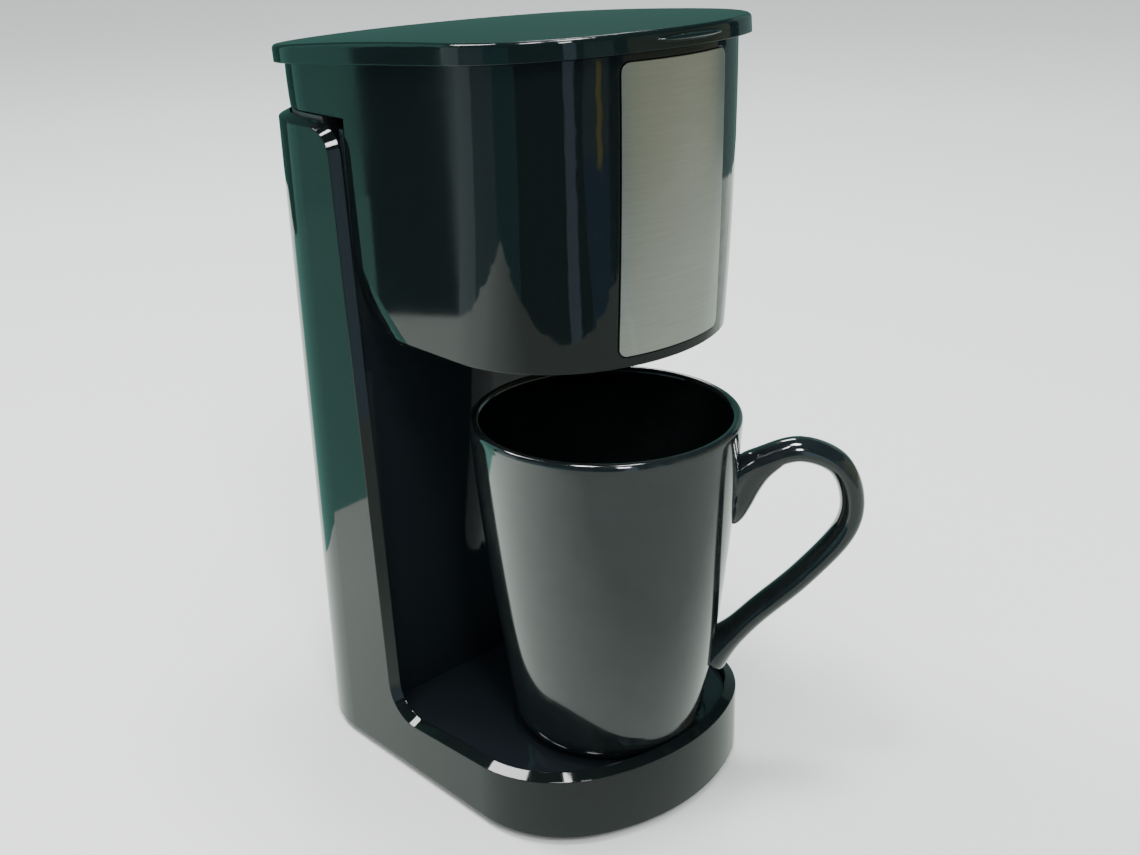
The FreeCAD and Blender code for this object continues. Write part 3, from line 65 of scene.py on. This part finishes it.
class Shader:
    """A Principled material whose sockets are driven by procedural textures in object coordinates."""

    def __init__(self, name, colour, roughness, metallic=0.0, ior=1.5, edge=0.0003):
        self.material = bpy.data.materials.new(name)
        self.material.use_nodes = True
        self.tree = self.material.node_tree
        self.surface = self.tree.nodes["Principled BSDF"]
        self.set("Base Color", (*colour, 1))
        self.set("Roughness", roughness)
        self.set("Metallic", metallic)
        self.set("IOR", ior)
        self.coordinates = self.tree.nodes.new("ShaderNodeTexCoord")
        self.place = self.coordinates.outputs["Object"]
        self.relief = self.rounded(edge)

    def rounded(self, radius):
        """Normals that turn smoothly over the edges, as a moulding's or a casting's do."""
        bevel = self.tree.nodes.new("ShaderNodeBevel")
        bevel.samples = 6
        bevel.inputs["Radius"].default_value = radius
        self.link(bevel.outputs["Normal"], self.surface.inputs["Normal"])
        return bevel.outputs["Normal"]

    def set(self, socket, value):
        self.surface.inputs[socket].default_value = value
        return self

    def link(self, source, target):
        self.tree.links.new(source, target)

    def noise(self, scale, detail=3.0, stretch=(1, 1, 1), rough=0.5):
        """Noise in object space; scale counts features per metre."""
        mapping = self.tree.nodes.new("ShaderNodeMapping")
        mapping.inputs["Scale"].default_value = stretch
        self.link(self.place, mapping.inputs["Vector"])
        texture = self.tree.nodes.new("ShaderNodeTexNoise")
        texture.inputs["Scale"].default_value = scale
        texture.inputs["Detail"].default_value = detail
        texture.inputs["Roughness"].default_value = rough
        self.link(mapping.outputs["Vector"], texture.inputs["Vector"])
        return texture.outputs["Fac"]

    def cells(self, scale):
        """Distance to the nearest of many scattered points."""
        texture = self.tree.nodes.new("ShaderNodeTexVoronoi")
        texture.inputs["Scale"].default_value = scale
        self.link(self.place, texture.inputs["Vector"])
        return texture.outputs["Distance"]

    def spread(self, source, low, high, start=0.3, end=0.7):
        """Map a texture from start..end onto low..high."""
        ranged = self.tree.nodes.new("ShaderNodeMapRange")
        for socket, value in (("From Min", start), ("From Max", end), ("To Min", low), ("To Max", high)):
            ranged.inputs[socket].default_value = value
        self.link(source, ranged.inputs["Value"])
        return ranged.outputs["Result"]

    def combine(self, operation, first, second):
        maths = self.tree.nodes.new("ShaderNodeMath")
        maths.operation = operation
        self.link(first, maths.inputs[0])
        self.link(second, maths.inputs[1])
        return maths.outputs["Value"]

    def colour(self, source, stops):
        """Base colours along a texture: stops are (position, colour)."""
        ramp = self.tree.nodes.new("ShaderNodeValToRGB")
        band = ramp.color_ramp
        while len(band.elements) < len(stops):
            band.elements.new(0.5)
        for element, (position, colour) in zip(band.elements, stops):
            element.position = position
            element.color = (*colour, 1)
        self.link(source, ramp.inputs["Fac"])
        self.link(ramp.outputs["Color"], self.surface.inputs["Base Color"])
        return self

    def vary(self, socket, source, low, high, start=0.3, end=0.7):
        self.link(self.spread(source, low, high, start, end), self.surface.inputs[socket])
        return self

    def bump(self, source, distance, strength=1.0):
        """Relief of the given height in metres, added over any relief so far."""
        bump = self.tree.nodes.new("ShaderNodeBump")
        bump.inputs["Strength"].default_value = strength
        bump.inputs["Distance"].default_value = distance
        self.link(source, bump.inputs["Height"])
        self.link(self.relief, bump.inputs["Normal"])
        self.relief = bump.outputs["Normal"]
        self.link(self.relief, self.surface.inputs["Normal"])
        return self


def polished_plastic(name, colour, waviness=0.00003):
    """Polished black ABS: slow mould flow under the shine, a haze that comes and goes, specks of dust."""
    shader = Shader(name, colour, 0.05, edge=0.00045)
    haze = shader.noise(26, 5, rough=0.6)
    specks = shader.spread(shader.cells(420), 0.22, 0.0, 0.02, 0.05)
    smooth = shader.spread(haze, 0.028, 0.07)
    shader.link(shader.combine("ADD", smooth, specks), shader.surface.inputs["Roughness"])
    shader.bump(shader.noise(24, 1), waviness, 0.4)
    shader.bump(shader.noise(1100, 2), 0.0000015, 0.35)
    return shader


def shell_black():
    return polished_plastic("shell_black", (0.0042, 0.0062, 0.006))


def inner_black():
    return polished_plastic("inner_black", (0.008, 0.011, 0.0135), 0.00002)


def lid_black():
    """Polished at the rim, with a fine spark-eroded grain over the crowned top."""
    shader = Shader("lid_black", (0.004, 0.008, 0.0075), 0.1, edge=0.0004)
    upward = shader.tree.nodes.new("ShaderNodeSeparateXYZ")
    shader.link(shader.coordinates.outputs["Normal"], upward.inputs["Vector"])
    on_top = shader.spread(upward.outputs["Z"], 0.0, 1.0, 0.93, 0.985)
    grain = shader.combine("MULTIPLY", shader.noise(1500, 3, rough=0.7), on_top)
    shader.link(shader.spread(on_top, 0.045, 0.17, 0, 1), shader.surface.inputs["Roughness"])
    shader.bump(grain, 0.00006, 0.5)
    shader.bump(shader.noise(20, 1), 0.00005, 0.4)
    return shader


def satin_black():
    """Unpolished black polypropylene with a fine even grain."""
    shader = Shader("satin_black", (0.012, 0.0125, 0.0125), 0.42, ior=1.49)
    shader.vary("Roughness", shader.noise(60, 4), 0.36, 0.5)
    shader.bump(shader.noise(2200, 3, rough=0.7), 0.00003, 0.5)
    return shader


def steel_plate():
    """Stainless sheet brushed along its width: very fine scratches, faint broad bands, satin highlights."""
    shader = Shader("steel_plate", (0.62, 0.61, 0.585), 0.3, metallic=1.0, edge=0.0002)
    lines = shader.noise(2600, 4, (0.03, 0.03, 1), 0.7)
    bands = shader.noise(60, 2, (0.1, 0.1, 1))
    shader.colour(lines, [(0.3, (0.565, 0.56, 0.53)), (0.7, (0.64, 0.635, 0.605))])
    shader.vary("Roughness", bands, 0.29, 0.35)
    shader.set("Anisotropic", 0.5).set("Anisotropic Rotation", 0.25)
    shader.bump(lines, 0.000005, 0.4)
    return shader


def ceramic_black():
    """Black glaze over stoneware: a deep clear coat with orange peel over a faint mottle."""
    shader = Shader("ceramic_black", (0.006, 0.0075, 0.007), 0.12, ior=1.56, edge=0.0004)
    shader.set("Coat Weight", 1.0).set("Coat IOR", 1.5).set("Coat Roughness", 0.02)
    mottle = shader.noise(140, 4, rough=0.6)
    shader.colour(mottle, [(0.35, (0.006, 0.0085, 0.009)), (0.65, (0.0095, 0.0125, 0.013))])
    shader.vary("Roughness", shader.noise(35, 3), 0.06, 0.16)
    shader.bump(shader.noise(45, 2), 0.00007, 0.5)
    shader.bump(shader.noise(420, 2), 0.000005, 0.5)
    return shader


def tank_smoke():
    """Smoke-grey translucent polypropylene, slightly milky with flow marks."""
    shader = Shader("tank_smoke", (0.1, 0.105, 0.11), 0.3, ior=1.49)
    shader.set("Transmission Weight", 0.55)
    shader.colour(shader.noise(18, 3), [(0.3, (0.075, 0.08, 0.085)), (0.7, (0.13, 0.135, 0.14))])
    shader.vary("Roughness", shader.noise(50, 4), 0.24, 0.38)
    shader.bump(shader.noise(900, 2), 0.00001, 0.4)
    return shader


def mesh():
    """Woven stainless cloth: fine wires round and along the cup, with the open cells between them painted
    near-black as painted shade and left partly see-through.
    """
    shader = Shader("mesh", (0.5, 0.5, 0.49), 0.3, metallic=1.0)
    low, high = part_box("mesh_filter")
    middle = (low + high) / 2
    centred = shader.tree.nodes.new("ShaderNodeMapping")
    centred.inputs["Location"].default_value = (-middle.x, -middle.y, 0)
    shader.link(shader.place, centred.inputs["Vector"])
    around = shader.tree.nodes.new("ShaderNodeTexGradient")
    around.gradient_type = "RADIAL"
    shader.link(centred.outputs["Vector"], around.inputs["Vector"])
    parts = shader.tree.nodes.new("ShaderNodeSeparateXYZ")
    shader.link(shader.place, parts.inputs["Vector"])
    uprights = shader.spread(around.outputs["Fac"], 0, 2 * math.pi * 260, 0, 1)
    hoops = shader.spread(parts.outputs["Z"], 0, 2 * math.pi * 1400, 0, 1)
    waves = []
    for phase in (uprights, hoops):
        sine = shader.tree.nodes.new("ShaderNodeMath")
        sine.operation = "SINE"
        shader.link(phase, sine.inputs[0])
        waves.append(sine.outputs["Value"])
    cloth = shader.combine("MAXIMUM", *waves)
    wires = shader.spread(cloth, 0, 1, -0.1, 0.5)
    # the open cells get a near-black colour at part opacity: painted shade in the gaps between the wires
    shader.colour(wires, [(0.0, (0.012, 0.011, 0.01)), (0.6, (0.55, 0.55, 0.53))])
    shader.vary("Alpha", wires, 0.45, 1, 0, 0.6)
    shader.bump(wires, 0.00012, 0.8)
    return shader


def wire_steel():
    """Bright drawn wire with fine die lines and a trace of heat colour."""
    shader = Shader("wire_steel", (0.7, 0.69, 0.67), 0.18, metallic=1.0)
    shader.colour(shader.noise(30, 3), [(0.3, (0.6, 0.585, 0.56)), (0.7, (0.74, 0.735, 0.72))])
    shader.vary("Roughness", shader.noise(300, 3), 0.12, 0.28)
    shader.bump(shader.noise(1800, 3, (1, 1, 0.1)), 0.000008, 0.5)
    return shader


def silicone():
    """Translucent cured silicone, a little cloudy and dusty."""
    shader = Shader("silicone", (0.72, 0.73, 0.71), 0.45, ior=1.41)
    shader.set("Subsurface Weight", 0.35).set("Subsurface Radius", (0.002, 0.002, 0.0018))
    shader.colour(shader.noise(60, 4), [(0.3, (0.62, 0.63, 0.6)), (0.7, (0.78, 0.79, 0.77))])
    shader.vary("Roughness", shader.noise(160, 4), 0.38, 0.6)
    shader.bump(shader.noise(700, 3), 0.00002, 0.4)
    return shader


def rubber():
    """Matt black rubber with a pebbled skin and greyed, dusty high spots."""
    shader = Shader("rubber", (0.018, 0.018, 0.018), 0.85)
    shader.colour(shader.noise(240, 5), [(0.35, (0.012, 0.012, 0.012)), (0.75, (0.05, 0.049, 0.047))])
    shader.vary("Roughness", shader.noise(90, 3), 0.75, 0.95)
    shader.bump(shader.noise(1300, 4, rough=0.7), 0.00008, 0.6)
    return shader


def aluminium():
    """As-cast aluminium: pitted, mottled and slightly stained by heat."""
    shader = Shader("aluminium", (0.55, 0.55, 0.55), 0.45, metallic=1.0)
    shader.colour(shader.noise(85, 5), [(0.3, (0.4, 0.395, 0.38)), (0.7, (0.62, 0.62, 0.615))])
    shader.vary("Roughness", shader.noise(120, 4), 0.34, 0.6)
    shader.bump(shader.noise(800, 5, rough=0.7), 0.0001, 0.5)
    return shader


def zinc_steel():
    """Zinc plate: pale crystalline patches with a bluish passivated cast."""
    shader = Shader("zinc_steel", (0.6, 0.62, 0.65), 0.32, metallic=1.0)
    shader.colour(shader.cells(380), [(0.1, (0.5, 0.53, 0.57)), (0.6, (0.68, 0.69, 0.7))])
    shader.vary("Roughness", shader.noise(150, 4), 0.22, 0.42)
    shader.bump(shader.noise(1200, 3), 0.00002, 0.5)
    return shader


def nylon(name, colour, darker):
    """A natural or dyed plastic moulding or sleeve with slight flow marks and handling dirt."""
    shader = Shader(name, colour, 0.4)
    shader.colour(shader.noise(130, 5), [(0.3, darker), (0.7, colour)])
    shader.vary("Roughness", shader.noise(220, 4), 0.32, 0.55)
    shader.bump(shader.noise(1400, 3), 0.00002, 0.5)
    return shader


def rocker_red():
    """Translucent red acrylic over a polished face."""
    shader = Shader("rocker_red", (0.35, 0.006, 0.006), 0.16, ior=1.49)
    shader.set("Transmission Weight", 0.25).set("Coat Weight", 0.6).set("Coat Roughness", 0.05)
    shader.colour(shader.noise(200, 3), [(0.3, (0.26, 0.004, 0.004)), (0.7, (0.42, 0.01, 0.009))])
    shader.vary("Roughness", shader.noise(120, 3), 0.1, 0.24)
    shader.bump(shader.noise(900, 2), 0.00001, 0.3)
    return shader


def finishes():
    """One material for every slot of the record."""
    makers = (shell_black, inner_black, lid_black, satin_black, steel_plate, ceramic_black, tank_smoke, mesh,
              wire_steel, silicone, rubber, aluminium, zinc_steel, rocker_red)
    looks = {maker.__name__: maker().material for maker in makers}
    for name, colour, darker in (
        ("ivory", (0.74, 0.7, 0.6), (0.62, 0.57, 0.46)),
        ("lead_white", (0.78, 0.77, 0.74), (0.6, 0.59, 0.55)),
        ("lead_brown", (0.16, 0.07, 0.035), (0.1, 0.04, 0.02)),
        ("lead_blue", (0.03, 0.1, 0.32), (0.02, 0.06, 0.22)),
    ):
        looks[name] = nylon(name, colour, darker).material
    return looks


def paint(looks):
    """Give every CAD node the material of its own slot."""
    for part in frame["record"]["subparts"]:
        materials = frame["nodes"][part["node"]].data.materials
        materials.clear()
        materials.append(looks[part["material_slot"]])


# ---------------------------------------------------------------- meshes


def blend(before, start, end, after, t):
    """The Catmull-Rom value a fraction t of the way from start to end."""
    slope = (end - before) * t
    bend = (2 * before - 5 * start + 4 * end - after) * t * t
    twist = (3 * start - before - 3 * end + after) * t ** 3
    return 0.5 * (2 * start + slope + bend + twist)


def smooth_run(points, steps):
    """A smooth curve through points, as a Catmull-Rom spline; any number of values per point."""
    padded = [points[0], *points, points[-1]]
    run = []
    for before, start, end, after in zip(padded, padded[1:], padded[2:], padded[3:]):
        for step in range(steps):
            run.append([blend(*values, step / steps) for values in zip(before, start, end, after)])
    run.append(list(points[-1]))
    return run


def arc_through(start, middle, end, steps):
    """Points on the circle through three points of a profile."""
    (ax, ay), (bx, by), (cx, cy) = start, middle, end
    twice = 2 * (ax * (by - cy) + bx * (cy - ay) + cx * (ay - by))
    squares = [x * x + y * y for x, y in (start, middle, end)]
    x = (squares[0] * (by - cy) + squares[1] * (cy - ay) + squares[2] * (ay - by)) / twice
    y = (squares[0] * (cx - bx) + squares[1] * (ax - cx) + squares[2] * (bx - ax)) / twice
    radius = math.hypot(ax - x, ay - y)
    first, last = math.atan2(ay - y, ax - x), math.atan2(cy - y, cx - x)
    if abs(last - first) > math.pi:
        last += math.copysign(2 * math.pi, first - last)
    turns = [first + (last - first) * step / steps for step in range(steps + 1)]
    return [(x + radius * math.cos(turn), y + radius * math.sin(turn)) for turn in turns]


def grid(rows, closed):
    """Vertices and quads of a surface from rows of points; closed joins each row's ends."""
    across = len(rows[0])
    faces = []
    for row in range(len(rows) - 1):
        for column in range(across if closed else across - 1):
            following = (column + 1) % across
            low, high = row * across, (row + 1) * across
            faces.append((low + column, low + following, high + following, high + column))
    return [point for row in rows for point in row], faces


def piece(name, surfaces, place):
    """An object from several grids in millimetres, welded, smooth, and with its mesh moved by place."""
    vertices, faces = [], []
    for points, quads in surfaces:
        faces += [[len(vertices) + index for index in quad] for quad in quads]
        vertices += [(x * 0.001, y * 0.001, z * 0.001) for x, y, z in points]
    data = bpy.data.meshes.new(name)
    data.from_pydata(vertices, [], faces)
    model = bmesh.new()
    model.from_mesh(data)
    bmesh.ops.remove_doubles(model, verts=model.verts, dist=1e-7)
    bmesh.ops.recalc_face_normals(model, faces=model.faces)
    model.to_mesh(data)
    model.free()
    data.shade_smooth()
    data.transform(place)
    thing = bpy.data.objects.new(name, data)
    bpy.context.collection.objects.link(thing)
    return thing


# ---------------------------------------------------------------- mug

MUG_PLACE = Matrix.Translation((-0.0053, -0.0285, 0.021)) @ Matrix.Rotation(math.radians(-43), 4, "Z")
# Millimetres, as are all the mug's profiles and stations: height, then outer radii and the wall.
MUG_TALL, LIP, WAIST, HEEL, WALL = 112.6, 43.4, 38.9, 32.4, 3.4
SEGMENTS = 192
MELT_VOXEL = 0.0005  # metres
POLISH_PASSES = 14


def mug_profile():
    """The cup's section as (radius, height), from under its foot over the lip to the middle of its floor."""
    lip = [
        (LIP - WALL / 2 + (WALL / 2) * math.cos(turn), MUG_TALL - WALL / 2 + (WALL / 2) * math.sin(turn))
        for turn in (math.pi * step / 14 for step in range(1, 14))
    ]
    side_top = MUG_TALL - WALL / 2
    under = smooth_run([(0, 1.6), (21, 1.5), (23.4, 1.1), (24.5, 0.2), (25.6, 0), (26.6, 0.15)], 5)
    foot = arc_through((26.9, 0.35), (30.6, 3.3), (HEEL, 9.0), 12)[:-1]
    outside = arc_through((HEEL, 9.0), (WAIST, 58.0), (LIP, side_top), 60)
    inside = arc_through((LIP - WALL, side_top), (WAIST - WALL, 58.0), (HEEL - WALL, 13.0), 50)
    floor_curve = smooth_run([(HEEL - WALL, 13.0), (27.6, 9.2), (24.0, 6.8), (18.0, 6.1), (0, 6.0)], 8)[1:]
    return under + foot + outside + lip + inside + floor_curve


def swept(stations, steps, around=36):
    """A closed bar along a curve in the XZ plane: stations are (x, z, half thickness, half width)."""
    run = smooth_run(stations, steps)
    rows = []
    for index, (x, z, thick, wide) in enumerate(run):
        ahead, behind = run[min(index + 1, len(run) - 1)], run[max(index - 1, 0)]
        length = math.hypot(ahead[0] - behind[0], ahead[1] - behind[1])
        out_x, out_z = (ahead[1] - behind[1]) / length, (behind[0] - ahead[0]) / length
        rows.append([
            (x + out_x * thick * math.cos(turn), wide * math.sin(turn), z + out_z * thick * math.cos(turn))
            for turn in (2 * math.pi * step / around for step in range(around))
        ])
    ends = [[(run[end][0], 0, run[end][1])] * around for end in (0, -1)]
    return grid([ends[0], *rows, ends[1]], True)


def mug_handle(ceramic):
    """The ear handle with its thumb tail, melted together as the glaze and clay do, then smoothed."""
    ear = swept([(36.9, 83.0, 6.6, 8.2), (40.6, 88.6, 5.0, 6.6), (44.6, 92.0, 4.2, 5.8), (49, 94.2, 4, 5.6),
                 (62, 97.8, 4, 5.6), (74.6, 92.6, 4, 5.6), (79.8, 80.5, 4, 5.6), (77.4, 68.0, 4, 5.6),
                 (64.6, 52.6, 4, 5.6), (50.5, 39.8, 4, 5.6), (43.2, 32.6, 4.3, 5.9), (38.4, 28.0, 5.4, 7.0),
                 (33.6, 22.8, 7.0, 8.6)], 8)
    tail = swept([(55.0, 95.2, 3.2, 5.0), (49.2, 91.6, 4.6, 5.5), (45.4, 86.6, 5.0, 5.4),
                  (43.2, 80.6, 4.4, 5.0), (41.8, 75.6, 3.2, 4.0), (40.7, 72.4, 1.6, 2.4)], 8)
    rough = piece("handle_rough", [ear, tail], MUG_PLACE)
    melt = rough.modifiers.new("melt", "REMESH")
    melt.mode = "VOXEL"
    melt.voxel_size = MELT_VOXEL
    polish = rough.modifiers.new("polish", "SMOOTH")
    polish.factor = 0.5
    polish.iterations = POLISH_PASSES
    shaped = rough.evaluated_get(bpy.context.evaluated_depsgraph_get())
    data = bpy.data.meshes.new_from_object(shaped)
    data.shade_smooth()
    data.materials.clear()
    data.materials.append(ceramic)
    handle = bpy.data.objects.new("mug_handle", data)
    bpy.context.collection.objects.link(handle)
    bpy.data.objects.remove(rough)
    return handle


def mug(ceramic):
    """The turned cup and its handle, in place of the CAD's mug."""
    rows = [
        [(radius * math.cos(turn), radius * math.sin(turn), height)
         for turn in (2 * math.pi * step / SEGMENTS for step in range(SEGMENTS))]
        for radius, height in mug_profile()
    ]
    cup = piece("mug_cup", [grid(rows, True)], MUG_PLACE)
    cup.data.materials.append(ceramic)
    for thing in (cup, mug_handle(ceramic)):
        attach(thing, "mug")
        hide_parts("mug")


looks = finishes()
paint(looks)
mug(looks["ceramic_black"])

# ---------------------------------------------------------------- camera, floor and light


def camera():
    """A camera above the left front corner, looking down on the machine."""
    yaw, pitch, roll = 0.7511, 0.3912, -0.0251
    look = Vector((math.sin(yaw) * math.cos(pitch), math.cos(yaw) * math.cos(pitch), -math.sin(pitch)))
    level = Vector((math.cos(yaw), -math.sin(yaw), 0))
    over = level.cross(look)
    right = level * math.cos(roll) + over * math.sin(roll)
    up = over * math.cos(roll) - level * math.sin(roll)
    data = bpy.data.cameras.new("camera")
    data.lens = 44.02
    data.sensor_width = 36
    data.clip_start = 0.01
    eye = bpy.data.objects.new("camera", data)
    turn = Matrix((right, up, -look)).transposed()
    eye.matrix_world = Matrix.Translation((-0.2933, -0.3203, 0.2972)) @ turn.to_4x4()
    bpy.context.collection.objects.link(eye)
    bpy.context.scene.camera = eye


def glow(name, colour, strength, brighter=1.0):
    """A light-emitting finish that grows brighter by a factor from y -0.15 m to y 0.15 m."""
    material = bpy.data.materials.new(name)
    material.use_nodes = True
    nodes, links = material.node_tree.nodes, material.node_tree.links
    nodes.clear()
    emission = nodes.new("ShaderNodeEmission")
    emission.inputs["Color"].default_value = (*colour, 1)
    emission.inputs["Strength"].default_value = strength
    if brighter != 1.0:
        parts = nodes.new("ShaderNodeSeparateXYZ")
        links.new(nodes.new("ShaderNodeTexCoord").outputs["Object"], parts.inputs["Vector"])
        ranged = nodes.new("ShaderNodeMapRange")
        for socket, value in (("From Min", -0.15), ("From Max", 0.15), ("To Min", strength),
                              ("To Max", strength * brighter)):
            ranged.inputs[socket].default_value = value
        links.new(parts.outputs["Y"], ranged.inputs["Value"])
        links.new(ranged.outputs["Result"], emission.inputs["Strength"])
    output = nodes.new("ShaderNodeOutputMaterial")
    links.new(emission.outputs["Emission"], output.inputs["Surface"])
    return material


def card(name, corners, colour, strength=1.0, brighter=1.0):
    """A glowing studio card that shows in polished surfaces only. Corners are in metres."""
    mesh = bpy.data.meshes.new(name)
    mesh.from_pydata([Vector(corner) for corner in corners], [], [list(range(len(corners)))])
    thing = bpy.data.objects.new(name, mesh)
    mesh.materials.append(glow(name, colour, strength, brighter))
    thing.visible_camera = False
    thing.visible_diffuse = False
    thing.visible_shadow = False
    bpy.context.collection.objects.link(thing)


def screen(name, bearings, low, high, colour, distance=1.6):
    """An upright card: bearings, in degrees from the rear, of its two ends as seen from the origin."""
    first, last = (math.radians(bearing) for bearing in bearings)
    corners = [(distance * math.sin(turn), distance * math.cos(turn), z)
               for turn, z in ((first, low), (last, low), (last, high), (first, high))]
    card(name, corners, colour)


def lamp(name, place, aim, wide, tall, watts):
    """A white rectangular panel at place that faces aim."""
    data = bpy.data.lights.new(name, "AREA")
    data.shape = "RECTANGLE"
    data.size, data.size_y = wide, tall
    data.energy = watts
    thing = bpy.data.objects.new(name, data)
    thing.location = place
    thing.rotation_euler = (Vector(aim) - Vector(place)).to_track_quat("-Z", "Y").to_euler()
    bpy.context.collection.objects.link(thing)


def floor():
    """A plain pale floor under the lowest point, kept out of the reflections."""
    bpy.ops.mesh.primitive_plane_add(size=14, location=(0, 0, cad_box[0][2]))
    ground = bpy.context.object
    ground.name = "floor"
    material = bpy.data.materials.new("floor")
    material.use_nodes = True
    surface = material.node_tree.nodes["Principled BSDF"]
    surface.inputs["Base Color"].default_value = (0.86, 0.865, 0.86, 1)
    surface.inputs["Roughness"].default_value = 0.9
    surface.inputs["Specular IOR Level"].default_value = 0.1
    ground.data.materials.append(material)
    ground.visible_glossy = False


def room():
    """What polished faces mirror: a pale table with a dim teal room past its edge."""
    tabletop = [(-0.364, 0.45), (-0.7, 0.005), (-0.203, -0.375), (-0.045, -0.49), (0.01, -0.6), (0.9, -0.7),
                (0.95, 0.9), (0.1, 1.0)]
    card("tabletop", [(x, y, -0.002) for x, y in tabletop], (0.62, 0.7, 0.645), 0.82, 3.0)
    card("box_on_table", [(-0.19, 0.215, 0), (-0.05, 0.2, 0), (-0.05, 0.2, 0.15), (-0.19, 0.215, 0.15)],
         (0.22, 0.56, 0.48), 1.3)
    teal = (0.25, 0.68, 0.58)
    screen("wall_left", (-36, -12), -0.8, 1.4, teal)
    screen("wall_rear", (-12, 22), -0.8, 1.4, (0.05, 0.16, 0.135))
    screen("wall_right", (22, 66), -0.8, 1.4, (0.06, 0.17, 0.145))
    screen("door_pale", (-60, -40.4), -1.3, 0.8, (0.6, 0.78, 0.78))
    screen("door_grey", (-84, -60), -1.3, 0.8, (0.26, 0.38, 0.42))
    screen("door_teal", (-106, -84), -1.3, 0.6, (0.09, 0.26, 0.3))
    screen("post", (-160, -150), -1.3, 0.9, (0.42, 0.6, 0.76))
    screen("shelf_blue", (-181, -169), -0.5, -0.12, (0.1, 0.19, 0.36))
    screen("shelf_amber", (-177, -174.5), -0.14, 0.06, (0.9, 0.8, 0.25), 1.58)
    screen("shelf_grey", (-181, -169), -0.12, 0.5, (0.18, 0.26, 0.28))
    screen("window_low", (96, 168), -1.2, -0.35, (0.95, 1.08, 0.95))
    screen("window_high", (104, 172), -0.2, 0.7, (0.27, 0.29, 0.21))
    screen("side_right", (66, 94), -1.0, 0.9, (0.2, 0.32, 0.3))


def lamps():
    """Ceiling panels, and a broad soft sky that lights the floor evenly and stays out of the reflections."""
    centre = (0, 0, 0.12)
    lamp("panel_rear_left", (-0.34, 0.9, 1.5), centre, 0.34, 0.6, 16)
    lamp("panel_middle", (0.2, -0.02, 1.55), centre, 0.34, 0.3, 12)
    lamp("panel_left", (-0.3, 0.02, 1.55), centre, 0.2, 0.3, 8)
    lamp("panel_front", (-0.6, -1.15, 1.4), centre, 0.26, 0.4, 14)
    lamp("panel_rear_right", (0.95, 0.95, 1.2), centre, 0.4, 0.2, 4)
    data = bpy.data.lights.new("sky", "SUN")
    data.energy = 3.0
    data.angle = 1.8
    sky = bpy.data.objects.new("sky", data)
    sky.rotation_euler = (0.25, -0.3, 0)
    sky.visible_glossy = False
    bpy.context.collection.objects.link(sky)


def studio():
    """A dim bluish surround with the room's cards and the lamps in it."""
    world = bpy.data.worlds.new("studio")
    world.use_nodes = True
    world.node_tree.nodes["Background"].inputs["Color"].default_value = (0.032, 0.066, 0.08, 1)
    bpy.context.scene.world = world
    room()
    lamps()


camera()
floor()
studio()
